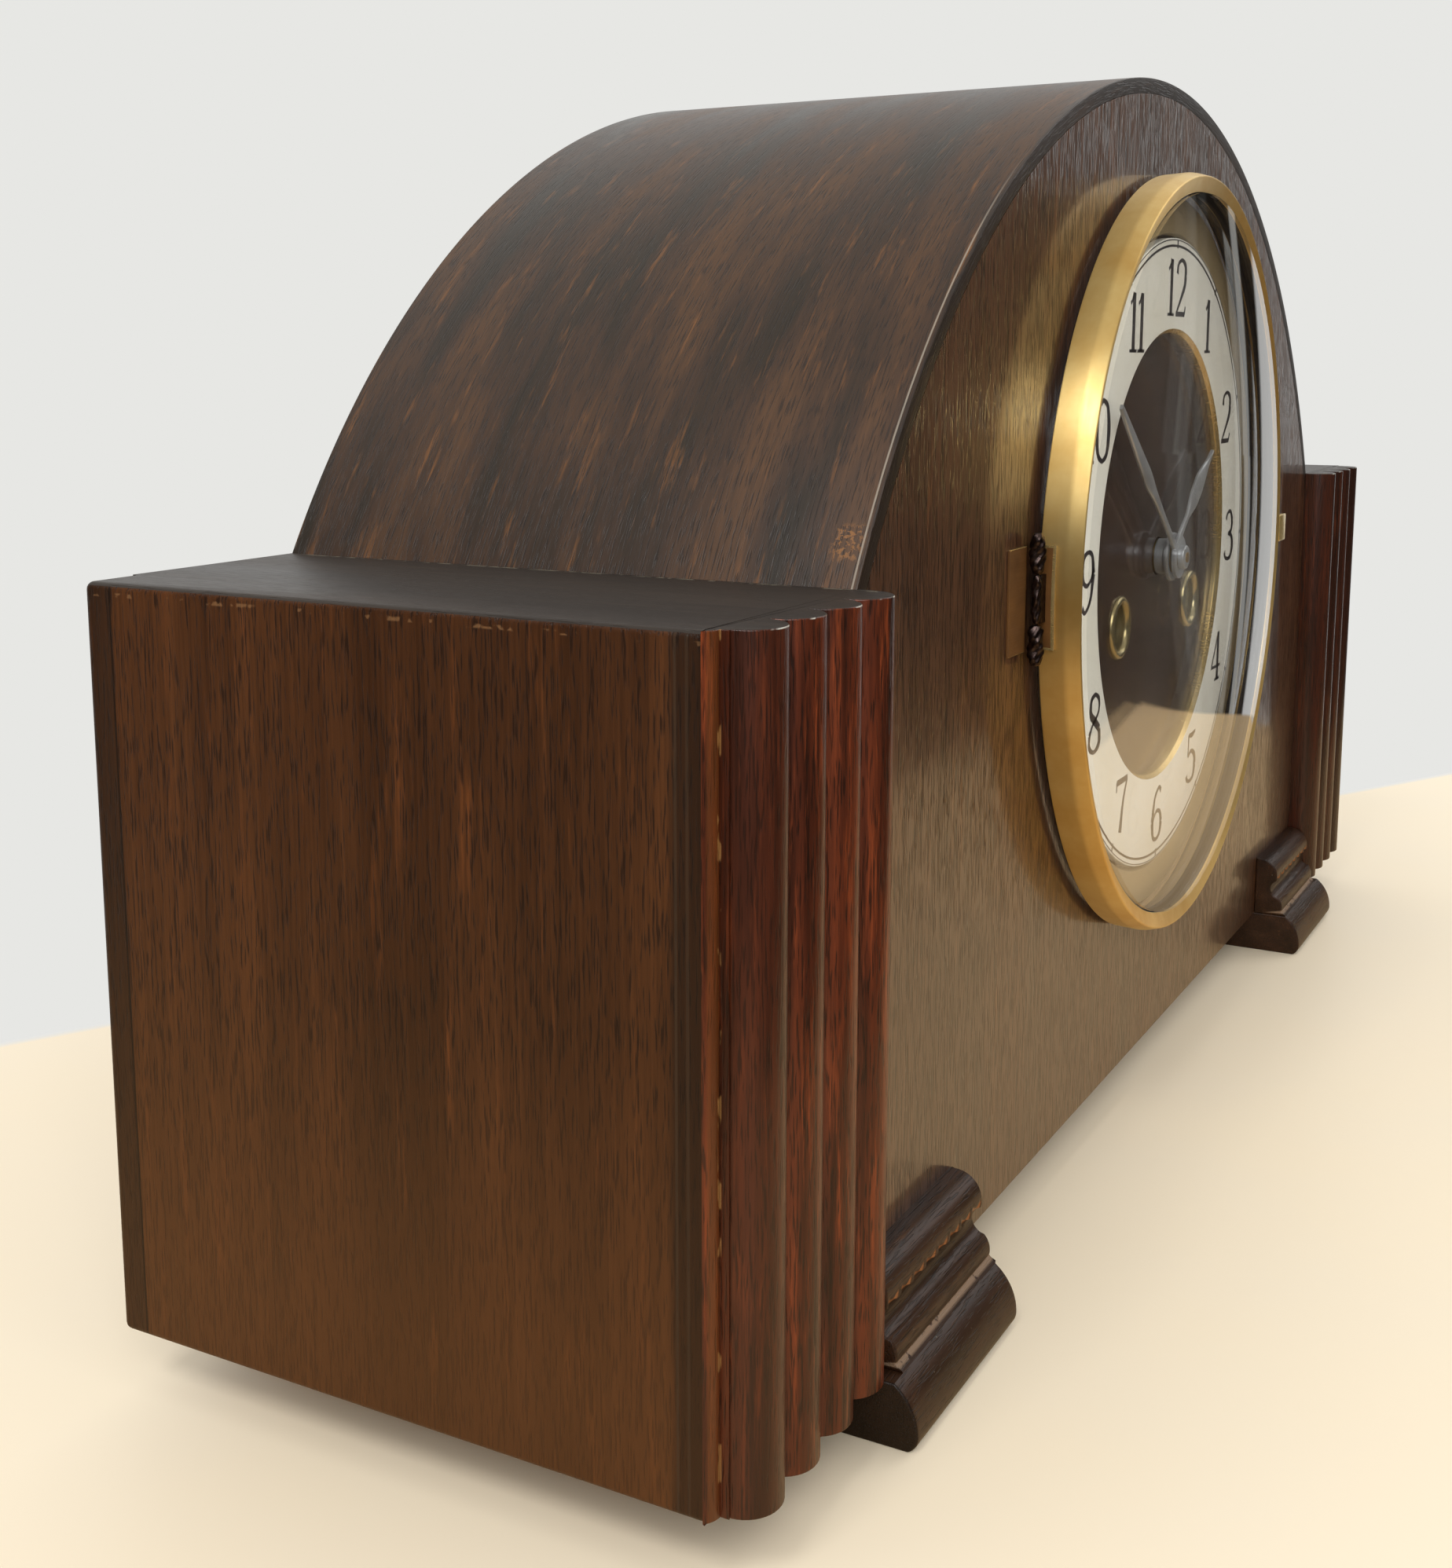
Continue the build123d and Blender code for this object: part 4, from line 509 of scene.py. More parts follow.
def softened(corners, cut, steps=6):
    # each corner is cut back along both its edges and bridged by a quadratic curve
    corners = np.asarray(corners, float)
    before = np.roll(corners, 1, 0) - corners
    after = np.roll(corners, -1, 0) - corners
    beforeLength, afterLength = (np.linalg.norm(side, axis=1)[:, None] for side in (before, after))
    longest = np.minimum(beforeLength, afterLength) * 0.45
    cut = np.minimum(np.broadcast_to(cut, len(corners))[:, None], longest)
    first = corners + before / beforeLength * cut
    last = corners + after / afterLength * cut
    share = np.linspace(0, 1, steps)[None, :, None]
    curve = (1 - share) ** 2 * first[:, None] + 2 * share * (1 - share) * corners[:, None] + share**2 * last[:, None]
    return curve.reshape(-1, 2)


def closed(outline):
    return np.vstack([outline, outline[:1]])


def runLength(points):
    # distance along a line of points, from its first one
    return np.concatenate([[0.0], np.cumsum(np.linalg.norm(np.diff(points, axis=0), axis=1))])


def turned(profile, centre=(0.0, 0.0), turns=180):
    # a profile of radius and height is carried round an axis out of the dial: x = r sin t, z = r cos t
    profile = np.asarray(profile, float)
    radius, out = profile[:, :1], profile[:, 1:]
    turn = 2 * np.pi * np.linspace(0, 1, turns + 1)[None, :]
    points = dialPlaces(centre[0] + radius * np.sin(turn), out, centre[1] + radius * np.cos(turn))
    flat = np.stack(np.broadcast_arrays(turn * radius.max(), runLength(profile)[:, None]), -1) * mm
    return points.reshape(-1, 3), gridFaces(len(profile), turns + 1), flat.reshape(-1, 2)


def rowFinish(profile, first, last, turns):
    # on a turned profile the rows of faces from the first up to the last take the second finish
    row = np.arange(len(profile) - 1)
    return np.repeat(((row >= first) & (row < last)).astype(int), turns)


def drawnOut(outline, levels, insets):
    # an outline is repeated at each level, moved inwards along its own normal by that level's inset
    outline = np.asarray(outline, float)
    after = np.roll(outline, -1, 0)
    slope = after - np.roll(outline, 1, 0)
    normal = np.stack([slope[:, 1], -slope[:, 0]], -1)
    normal /= np.maximum(np.linalg.norm(normal, axis=1), 1e-9)[:, None]
    area = np.sum(outline[:, 0] * after[:, 1] - outline[:, 1] * after[:, 0])
    rings = outline[None] - np.sign(area) * normal[None] * np.asarray(insets)[:, None, None]
    height = np.broadcast_to(np.asarray(levels, float)[:, None, None], rings.shape[:2] + (1,))
    return np.concatenate([rings, height], -1)


def roundedEnds(start, end, radius, steps=4):
    # levels and insets that follow a quarter circle at both ends of a straight run
    turn = np.linspace(0, np.pi / 2, steps + 1)
    inset = radius * (1 - np.sin(turn))
    level = radius * (1 - np.cos(turn))
    return np.concatenate([start + level, (end - level)[::-1]]), np.concatenate([inset, inset[::-1]])


def ringSurface(rings, flat=None):
    # the rings of points of a drawn-out solid become a closed skin, with one face at each end
    levels, around = rings.shape[:2]
    lastStart = (levels - 1) * (around + 1)
    faces = gridFaces(levels, around + 1)
    faces += [list(range(around - 1, -1, -1)), list(range(lastStart, lastStart + around))]
    shape = [np.concatenate([rings, rings[:, :1]], 1).reshape(-1, 3), faces]
    if flat is not None:
        shape.append(np.concatenate([flat, flat[:, :1]], 1).reshape(-1, 2))
    return shape


def topFinish(shape, around, rows):
    # the last rows of faces and the upper end take the second finish
    count = len(shape[1])
    face = np.arange(count)
    return ((face >= count - 2 - rows * around) & (face != count - 2)).astype(int)


def makePiece(name, shapes, finishes, body, replaced=(), sharp=32, finishShares=None):
    # shapes are lists of points, faces and, where a pattern follows the surface, their flat places
    pointSets, faceSets, flatSets, count = [], [], [], 0
    for points, faces, *flat in shapes:
        pointSets.append(points)
        faceSets += [[corner + count for corner in face] for face in faces]
        flatSets.append(flat[0] if flat else points[:, :2])
        count += len(points)
    mesh = bpy.data.meshes.new(name)
    mesh.from_pydata(np.vstack(pointSets).tolist(), [], faceSets)
    for finish in finishes:
        mesh.materials.append(finish)
    if finishShares is not None:
        mesh.polygons.foreach_set("material_index", finishShares)
    corners = np.zeros(len(mesh.loops), int)
    mesh.loops.foreach_get("vertex_index", corners)
    flat = np.vstack(flatSets)[corners].astype(np.float32)
    mesh.uv_layers.new(name="surface").data.foreach_set("uv", flat.ravel())
    skin = bmesh.new()
    skin.from_mesh(mesh)
    bmesh.ops.remove_doubles(skin, verts=skin.verts, dist=mm / 1000)
    bmesh.ops.recalc_face_normals(skin, faces=skin.faces)
    if skin.calc_volume(signed=True) < 0:
        bmesh.ops.reverse_faces(skin, faces=skin.faces)
    skin.to_mesh(mesh)
    skin.free()
    mesh.shade_smooth()
    mesh.set_sharp_from_angle(angle=radians(sharp))
    piece = addObject(name, mesh)
    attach(piece, body)
    if replaced:
        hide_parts(*replaced)


# Case, in millimetres: the arch, the side boards and the shoulder tops
case = dict(shoulderWidth=45.8, shoulderBoard=9.0, archSagitta=88.8, shellThickness=3.0, shellEdge=0.18, boardEdge=1.4)


def bentArch():
    # a strip with softened edges goes round the arch: x = r sin a, z = centre + r cos a, and each radius ends
    # where it meets the level under the shoulders
    halfSpan = caseHalf - case["shoulderWidth"] * mm
    rise = case["archSagitta"] * mm
    outer = (halfSpan**2 + rise**2) / (2 * rise)
    centre = shoulderTop + rise - outer
    inner = outer - case["shellThickness"] * mm
    foot = shoulderTop - case["shoulderBoard"] * mm
    corners = [(outer, caseFront), (outer, caseBack), (inner, caseBack), (inner, caseFront)]
    strip = closed(softened(corners, case["shellEdge"] * mm, 5))
    radius, depth = strip[:, :1], strip[:, 1:]
    share = np.linspace(-1, 1, 241)[None, :]
    angle = share * np.arccos((foot - centre) / radius)
    points = np.stack(np.broadcast_arrays(radius * np.sin(angle), depth, centre + radius * np.cos(angle)), -1)
    flat = np.stack(np.broadcast_arrays(angle * outer, runLength(strip)[:, None]), -1)
    faces = gridFaces(len(strip), share.size)
    starts = [row * share.size for row in range(len(strip) - 1)]
    faces += [starts, [start + share.size - 1 for start in starts][::-1]]
    return points.reshape(-1, 3), faces, flat.reshape(-1, 2)


makePiece("archSkin", [bentArch()], [archVeneer], "case", ["arch_shell"])


def boardShape(low, high, side, edge):
    # at each level the outer and rear faces step back by the inset, and the corner between them stays round
    outer, inner = (low.x, high.x) if side < 0 else (high.x, low.x)
    levels, insets = (each[:, None] for each in roundedEnds(low.z, high.z, edge * 0.85, 5))
    turn = np.linspace(0, np.pi / 2, 7)
    radius = edge - insets
    across = outer - side * (edge - radius * np.cos(turn))
    depth = high.y - edge + radius * np.sin(turn)
    same = 0 * insets
    xPlaces = np.hstack([outer - side * insets, across, inner + same, inner + same])
    yPlaces = np.hstack([low.y + same, depth, high.y - insets, low.y + same])
    return ringSurface(np.stack(np.broadcast_arrays(xPlaces, yPlaces, levels), -1)), xPlaces.shape[1]


for name, side in (("left", -1), ("right", 1)):
    panel = name + "_side_panel"
    board, around = boardShape(*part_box(panel), side, case["boardEdge"] * mm)
    finishes = [caseVeneer, shoulderVeneer]
    makePiece(name + "SideBoard", [board], finishes, "case", [panel], 32, topFinish(board, around, 3))
print("case boards made")

# Pilasters: equal beads with quirks between them and a low half bead at the corner
pilaster = dict(
    width=46.5, projection=7.4, beads=4, beadDepth=4.8, quirk=0.4, cornerWidth=2.5, cornerRise=1.3, edge=0.3, steps=20,
)


def reedOutline():
    # a bead is the arc through its two feet and its crown, one after another from the inner edge outwards
    width, rise, front = pilaster["cornerWidth"], pilaster["cornerRise"], pilaster["projection"]
    corner = pilaster["width"] - width
    pitch = corner / pilaster["beads"]
    valley = front - pilaster["beadDepth"]
    lines = [np.array([(0.0, 0.0)])]
    for bead in range(pilaster["beads"]):
        start = bead * pitch
        end = start + pitch - pilaster["quirk"]
        lines.append(arcThrough((start, valley), ((start + end) / 2, front), (end, valley), pilaster["steps"]))
    radius = (width**2 + rise**2) / (2 * rise)
    along = width * np.linspace(0, 1, 9)
    fall = rise - radius + np.sqrt(radius**2 - along**2)
    return np.vstack([*lines, [(corner, valley)], np.stack([corner + along, fall], -1)])


for side, sign in (("left", -1), ("right", 1)):
    reeds = reedOutline()
    aside = sign * (caseHalf - (pilaster["width"] - reeds[:, 0]) * mm)
    plan = np.stack([aside, caseFront - reeds[:, 1] * mm], -1)
    rings = drawnOut(plan, *roundedEnds(caseFloor, shoulderTop, pilaster["edge"] * mm))
    rings[:, reeds[:, 1] == 0, 1] = caseFront
    shape = ringSurface(rings)
    finishes, nodes = [pilasterWood, shoulderVeneer], [side + "_pilaster"]
    makePiece(side + "Reeds", [shape], finishes, "case", nodes, 50, topFinish(shape, len(plan), 2))
print("pilasters made")

# Front feet: crown, bead, cove and nose over a bullnose, with a row of gouges along the bead
foot = dict(
    reach=12.5, crown=15.5, height=10.5, heel=3.4, depth=40.0, edge=0.4,
    gouges=8, gougeDepth=0.7, gougeLength=1.7, gougeWidth=0.75, gougeHeight=9.4, gougeBend=0.3, wearWidth=0.24,
    mouldingRings=190, noseRings=60,
)
# places on the moulding, as shares of its reach in front of the panel and of its crown's height
mouldingShares = dict(
    crownStart=(0.08, 1), bead=(0.4, 0.87), beadEnd=(0.46, 0.62), cove=(0.34, 0.44), coveEnd=(0.513, 0.31),
    nose=(0.59, 0.2), noseEnd=(0.59, 0.08), floor=(0.68, 0), backFloor=(0, 0), backCrown=(0, 1),
)


def mouldingOutline():
    # three arcs that meet at the end of the bead and of the cove, and a flat back
    start, bead, beadEnd, cove, coveEnd, nose, noseEnd, *back = (
        np.array([foot["reach"] * out, foot["crown"] * up]) for out, up in mouldingShares.values()
    )
    lines = [
        arcThrough(start, bead, beadEnd, 22),
        arcThrough(beadEnd, cove, coveEnd, 18)[1:],
        arcThrough(coveEnd, nose, noseEnd, 12)[1:],
    ]
    return np.vstack([*lines, *back]), noseEnd


def bullnoseOutline():
    # two arcs that leave the widest point upright, one up to the step and one down to the floor
    reach, height = foot["reach"], foot["height"]
    low = height * 0.75
    lines = []
    for out, rise in ((reach * 0.32, low), (reach * 0.13, low - height)):
        radius = (out**2 + rise**2) / (2 * out)
        turn = np.linspace(0, np.arcsin(abs(rise) / radius), 16)
        lines.append(np.stack([reach - radius * (1 - np.cos(turn)), -low + np.sign(rise) * radius * np.sin(turn)], -1))
    back = np.array([(-foot["depth"], -height), (-foot["depth"], 0.0)])
    return np.vstack([lines[0][::-1], lines[1][1:], back])


def footRings(outline, start, end, count):
    levels, insets = roundedEnds(start, end, foot["edge"] * mm)
    half = len(levels) // 2
    between = np.linspace(levels[half - 1], levels[half], count)[1:-1]
    levels = np.concatenate([levels[:half], between, levels[half:]])
    insets = np.concatenate([insets[:half], 0 * between, insets[half:]])
    return drawnOut(outline * mm, levels, insets)


def mouldingShape(start, end):
    # the outline is drawn along x, and each gouge is a dent that fades with the square of the distance from it
    outline, noseEnd = mouldingOutline()
    rings = footRings(outline, start, end, foot["mouldingRings"])
    reachOut, height, along = (rings[..., axis] for axis in range(3))
    pitch = (end - start) / foot["gouges"]
    beside = ((along - start) / pitch % 1 - 0.5) * pitch / mm
    above = height / mm - foot["gougeHeight"] - foot["gougeBend"] * beside**2
    dent = np.exp(-((beside / foot["gougeLength"]) ** 4) - (above / foot["gougeWidth"]) ** 2)
    dent = np.where(reachOut > 0.5 * mm, dent, 0.0)
    placed = np.stack([along, caseFront - reachOut + dent * foot["gougeDepth"] * mm, caseFloor + height], -1)
    wear = np.exp(-(np.linalg.norm(outline - noseEnd, axis=1) ** 2) / foot["wearWidth"] ** 2)
    return ringSurface(placed, np.stack([np.broadcast_to(wear, dent.shape), dent], -1) * mm)


def bullnoseShape(start, end):
    rings = footRings(bullnoseOutline(), start, end, foot["noseRings"])
    placed = np.stack([rings[..., 2], caseFront - rings[..., 0], caseFloor + rings[..., 1]], -1)
    return ringSurface(placed, np.zeros(placed.shape[:2] + (2,)))


for side, sign in (("left", -1), ("right", 1)):
    node = side + "_front_foot"
    low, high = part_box(node)
    heel = foot["heel"] * mm
    start, end = (low.x + heel, high.x) if sign < 0 else (low.x, high.x - heel)
    shapes = [mouldingShape(start, end), bullnoseShape(low.x, high.x)]
    makePiece(side + "Foot", shapes, [footWood], "case", [node])
print("feet made")

# Bezel: conical wall, rounded ridge, sloping face and a lip, and the domed glass behind it
bezel = dict(
    corners=((77.2, 1.4), (79.6, 1.4), (79.9, 6.4), (79.1, 9.3), (76.2, 8.4), (75.9, 8.2), (75.9, 7.2), (77.2, 7.2)),
    cuts=(0.15, 0.3, 0.6, 0.45, 0.2, 0.1, 0.15, 0.1), turns=288, paintedShadeRows=(41, 56),
)
profile = closed(softened(bezel["corners"], bezel["cuts"], 7))
ring = turned(profile, turns=bezel["turns"])
# painted shade: the bore and rear of the ring take the dark paint, standing in for the shadow inside the bezel
paintedBoreShade = rowFinish(profile, *bezel["paintedShadeRows"], bezel["turns"])
makePiece("bezelRing", [ring], [bezelBrass, paintedShade], "bezel", ["bezel_ring"], 60, paintedBoreShade)
glass = dict(
    radius=75.7, flange=76.9, edge=9.15, rise=1.65, power=3.2, thickness=1.8, step=1, innerRise=0.9,
    rings=40, turns=144,
)


def glassProfile():
    # the height falls from the middle with a power of the radius, and a flange lies behind the bezel's lip
    radius, flange = glass["radius"], glass["flange"]
    share = np.linspace(0, 1, glass["rings"])
    rise = glass["rise"] * (1 - share ** glass["power"])
    outer = np.stack([radius * share, glass["edge"] + rise], -1)
    back = glass["edge"] - glass["thickness"]
    rear = back - glass["step"]
    rim = softened([outer[-1], (radius, back), (flange, back), (flange, rear)], 0.2, 3)[3:-3]
    inner = np.stack([flange * share, rear + rise * glass["innerRise"]], -1)[::-1]
    return np.vstack([outer, rim, inner])


dome = turned(glassProfile(), turns=glass["turns"])
makePiece("glassDome", [dome], [clearGlass], "bezel", ["bezel_glass"], 60)
print("bezel and glass made")

# Bezel hinge: a leaf on the bezel's wall, a leaf on the panel and dark worn knuckles
hinge = dict(
    axisAside=83.0, axisOut=2.25, gap=0.35, barrel=1.6, reach=11.8, middle=4.3, middleShare=0.6,
    swell=0.84, waves=(0.1, 0.06), narrow=0.45, length=18.8, wallLeaf=(1.5, 4.6), leafRise=0.5, leafSink=0.2,
    panelLeaf=(83.6, 92.0), panelLeafOut=(0.0, 0.45), edge=0.12, border=0.5,
    web=(79.9, 82.6), webThickness=0.7, webEdge=0.1, tab=(-85.3, -79.0), tabOut=(8.2, 9.4), tabEdge=0.3,
    twists=dict(middle=14, low=11, high=8, fast=23), wallFaces=(40, 20), wallPlain=15,
    panelFaces=(7, 12), panelBright=(1, 2, 3, 7, 8, 9),
)


def wallLeafShape():
    # a rounded strip is carried round the wall's cone: its radius grows evenly from the rear to the front
    rear, front = hinge["wallLeaf"]
    sink, rise, border = -hinge["leafSink"], hinge["leafRise"], front - hinge["border"]
    strip = softened([(rear, sink), (front, sink), (front, rise), (border, rise), (rear, rise)], hinge["edge"], 4)
    (nearRadius, nearLevel), (farRadius, farLevel) = bezel["corners"][1:3]
    radius = nearRadius + (farRadius - nearRadius) * (strip[:, 0] - nearLevel) / (farLevel - nearLevel) + strip[:, 1]
    turn = np.linspace(-0.5, 0.5, hinge["wallFaces"][0] + 1)[:, None] * hinge["length"] / farRadius
    return ringSurface(dialPlaces(-radius * np.cos(turn), strip[:, 0], radius * np.sin(turn)))


def knuckleShape(low, high, thick, twist):
    # a barrel whose radius swells and shrinks with two waves round it that turn as they climb
    share = np.linspace(0, 1, 61)[:, None]
    turn = 2 * np.pi * np.linspace(0, 1, 49)[None, :-1]
    slow, fast = hinge["waves"]
    swell = hinge["swell"] + slow * np.sin(2 * turn + hinge["twists"][twist] * share)
    swell = swell + fast * np.sin(5 * turn - hinge["twists"]["fast"] * share)
    radius = thick * swell * (1 - hinge["narrow"] * np.abs(2 * share - 1) ** 6)
    aside, out = hinge["axisAside"] + radius * np.cos(turn), hinge["axisOut"] + radius * np.sin(turn)
    return ringSurface(dialPlaces(-aside, out, low + (high - low) * share))


def plateShape(aside, out, heights, edge):
    # a small rounded plate, given by its reach to the left, out of the panel and up
    (near, far), (low, high) = aside, heights
    outline = softened([(-far, low), (-near, low), (-near, high), (-far, high)], edge, 3)
    rings = drawnOut(outline, *roundedEnds(*out, edge * 0.7, 3))
    return ringSurface(dialPlaces(rings[..., 0], rings[..., 2], rings[..., 1]))


def leafShares(bright, knuckles):
    # a leaf has a plain and a bright finish, and the knuckles and web beside it have the third one
    return np.concatenate([bright, np.full(sum(len(shape[1]) for shape in knuckles), 2)])


halfLength, middleHalf, barrel = hinge["length"] / 2, hinge["middle"], hinge["barrel"]
webOut = (hinge["axisOut"], hinge["axisOut"] + hinge["webThickness"])
middleShapes = [
    knuckleShape(-middleHalf, middleHalf, barrel * hinge["middleShare"], "middle"),
    plateShape(hinge["web"], webOut, (-middleHalf, middleHalf), hinge["webEdge"]),
]
# the wall leaf is bright all round its plain outer face
wallShares = np.ones(hinge["wallFaces"], int)
wallShares[1:-1, hinge["wallPlain"]] = 0
leafShape = [wallLeafShape(), *middleShapes]
leafFinishes = [leafBrass, brightBrass, hingeBronze]
shares = leafShares([*wallShares.ravel(), 1, 1], middleShapes)
makePiece("hingeBezelLeaf", leafShape, leafFinishes, "bezel", ["bezel_leaf"], 22, shares)
outerStart = middleHalf + hinge["gap"]
knuckles = [
    knuckleShape(-hinge["reach"], -outerStart, barrel, "low"),
    knuckleShape(outerStart, hinge["reach"], barrel, "high"),
]
panelLeaf = plateShape(hinge["panelLeaf"], hinge["panelLeafOut"], (-halfLength, halfLength), hinge["edge"])
# the panel leaf is bright along its ends and plain in front
rows, columns = hinge["panelFaces"]
brightColumns = np.isin(np.arange(columns), hinge["panelBright"]).astype(int)
shares = leafShares([*np.tile(brightColumns, rows), 0, 0], knuckles)
leafShape = [panelLeaf, *knuckles]
makePiece("hingePanelLeaf", leafShape, leafFinishes, "case", ["bezel_hinge_frame"], 10, shares)
tabHeights = [(corner.z - dialZ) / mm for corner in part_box("bezel_tab")]
tabPlate = plateShape(hinge["tab"], hinge["tabOut"], tabHeights, hinge["tabEdge"])
makePiece("pullTab", [tabPlate], [brightBrass], "bezel", ["bezel_tab"], 22)
print("bezel hinge and tab made")

# Dial: raised white ring with a gilt inner bevel, tan margin, eyelets, track and numerals
dial = dict(
    plate=0.6, outer=66.9, inner=47.4, ringTop=2.5, bevel=0.9, ringCuts=(0.05, 0.1, 0.1, 0.25, 0.05), giltRows=(0, 8),
    margin=(67.4, 75.4), marginTop=1.9, marginSlopes=(0.6, 0.9), marginCut=0.2, shadeRows=(10, 16), turns=240,
    ink=0.04, trackRadius=65.3, trackWidth=0.5, edgeLineRadius=66.5, edgeLineWidth=0.22,
    tickHalf=0.26, tickFrom=0.5, tickTo=0.3,
    numeralReach=(54.8, 56.8), numeralHeight=11.8, numeralWidth=1.35, strokeShare=1.5,
    digitPitch=0.64, elevenPitch=0.46, tenAside=4.4,
)
plate, ringTop, ink = dial["plate"], dial["ringTop"], dial["ink"]
inner, outer, bevel = dial["inner"], dial["outer"], dial["bevel"]
corners = [(inner, plate), (inner, ringTop - bevel), (inner + bevel, ringTop), (outer, ringTop), (outer, plate)]
profile = closed(softened(corners, dial["ringCuts"], 4))
ring = turned(profile, turns=dial["turns"])
gilt = rowFinish(profile, *dial["giltRows"], dial["turns"])
makePiece("chapterRing", [ring], [chapterPaint, brightBrass], "case", ["chapter_ring"], 40, gilt)
(inner, outer), top, (rise, fall) = dial["margin"], dial["marginTop"], dial["marginSlopes"]
corners = [(inner, plate), (inner + rise, top), (outer, top), (outer + fall, plate)]
profile = closed(softened(corners, dial["marginCut"], 4))
ring = turned(profile, turns=dial["turns"])
# painted shade: the margin ring's outer flank takes the dark paint, standing in for the shadow in the gap under the
# bezel
shade = rowFinish(profile, *dial["shadeRows"], dial["turns"])
makePiece("marginRing", [ring], [marginPaint, paintedShade], "case", ["dial_margin"], 32, shade)

# Winding eyelets: a rolled rim on a barrel, its corners given as radius and height over the plate
eyelet = dict(
    places=((27.0, -12.3), (-27.0, -12.3)), bore=4.7, depth=-3.0,
    rim=((5.4, -3.6), (5.4, 0), (6.6, 0), (6.4, 0.6), (5.85, 0.9), (5.25, 0.75)),
    cuts=(0.05, 0.05, 0.05, 0.1, 0.4, 0.4, 0.4, 0.4), turns=72,
)
rim = [(radius, plate + height) for radius, height in eyelet["rim"]]
corners = [(eyelet["bore"], eyelet["depth"]), *rim, (eyelet["bore"], plate)]
profile = closed(softened(corners, eyelet["cuts"], 5))
eyelets = [turned(profile, place, eyelet["turns"]) for place in eyelet["places"]]
makePiece("windingEyelets", eyelets, [paleBrass], "case", ["winding_eyelets"], 50)

# Numerals: strokes through a few points, each point with its half width, in hundredths of the height
numeralStrokes = {
    "0": [[(0, 100, 2.5), (-17, 87, 4), (-23.5, 50, 5.8), (-17, 13, 4), (0, 0, 2.5)]],
    "1": [
        [(0, 1, 5.5), (0, 98, 5.5)],
        [(-15, 80, 2.2), (-8, 86, 2.2), (-2, 97, 3)],
        [(-15, 1.8, 1.8), (15, 1.8, 1.8)],
    ],
    "2": [
        [(-20, 74, 4.5), (-17, 90, 2.8), (0, 98.5, 2.4), (17, 90, 4), (21, 72, 5.5)],
        [(21, 72, 5.5), (16, 52, 4.5), (-2, 28, 3), (-20, 5, 2.2)],
        [(-23, 3.2, 3), (20, 3.2, 3)],
        [(19, 3, 2.2), (23.5, 17, 1.8)],
    ],
    "3": [
        [(-19, 84, 4), (-10, 96, 2.4), (6, 97.5, 3), (19, 78, 5)],
        [(19, 78, 5), (14, 60, 3.5), (-4, 53.5, 2)],
        [(-4, 53.5, 2), (16, 47, 3.5), (23, 27, 5.6), (14, 6, 3.5), (-4, 2, 2.4)],
        [(-4, 2, 2.4), (-17, 7, 3), (-22, 18, 4.5)],
    ],
    "4": [
        [(8, 98, 2.4), (-25, 30, 2.4)],
        [(-27, 28.5, 2), (25, 28.5, 2)],
        [(9, 1, 5.2), (9, 98, 5.2)],
        [(-5, 1.8, 1.8), (22, 1.8, 1.8)],
    ],
    "5": [
        [(-15, 95, 2.4), (2, 93, 3.6), (20, 98.5, 2)],
        [(-15, 96, 2.2), (-16.5, 53, 2.2)],
        [(-16.5, 53, 2.2), (0, 61, 2.6), (18, 50, 4.5), (22, 30, 5.6)],
        [(22, 30, 5.6), (15, 8, 3.6), (-2, 1.5, 2.4), (-17, 6, 3), (-21, 15, 4.2)],
    ],
    "6": [
        [(17, 90, 3.8), (6, 98, 2.4), (-13, 80, 3.4), (-22.5, 38, 5.6)],
        [(-22.5, 38, 5.6), (-16, 9, 3.6), (0, 1, 2.4), (16, 9, 3.6), (21.5, 29, 5.2)],
        [(21.5, 29, 5.2), (15, 48, 3.4), (1, 55, 2.4), (-14, 46, 2.4), (-21.5, 30, 3)],
    ],
    "7": [
        [(-23, 95, 3.6), (23.5, 95, 3.6)],
        [(-22.5, 97, 2), (-23.5, 79, 1.8)],
        [(22.5, 94, 2.2), (7, 55, 3.4), (-3, 2, 5.8)],
    ],
    "8": [
        [(0, 99, 2.4), (-15, 91, 3.6), (-16, 68, 4.6), (0, 53, 5), (19, 37, 4.6)],
        [(19, 37, 4.6), (19, 12, 4.4), (0, 1, 2.4), (-19, 12, 3.6), (-20, 32, 3.6)],
        [(-20, 32, 3.6), (-8, 48, 2.2), (14, 66, 2.4), (15, 88, 3), (0, 99, 2.4)],
    ],
}
numeralStrokes["0"] += [[(-x, y, half) for x, y, half in stroke] for stroke in numeralStrokes["0"]]
numeralStrokes["9"] = [[(-x, 100 - y, half) for x, y, half in stroke] for stroke in numeralStrokes["6"]]


def smoothLine(points, steps=12):
    # a curve through every point, each stretch a cubic whose slopes join the points either side
    points = np.asarray(points, float)
    if len(points) == 2:
        return points
    padded = np.vstack([2 * points[0] - points[1], points, 2 * points[-1] - points[-2]])
    before, start, end, after = padded[:-3, None], padded[1:-2, None], padded[2:-1, None], padded[3:, None]
    share = np.linspace(0, 1, steps, endpoint=False)[None, :, None]
    cubic = (
        (2 * share**3 - 3 * share**2 + 1) * start
        + (share**3 - 2 * share**2 + share) * (end - before) / 2
        + (3 * share**2 - 2 * share**3) * end
        + (share**3 - share**2) * (after - start) / 2
    )
    return np.vstack([cubic.reshape(-1, points.shape[1]), points[-1:]])


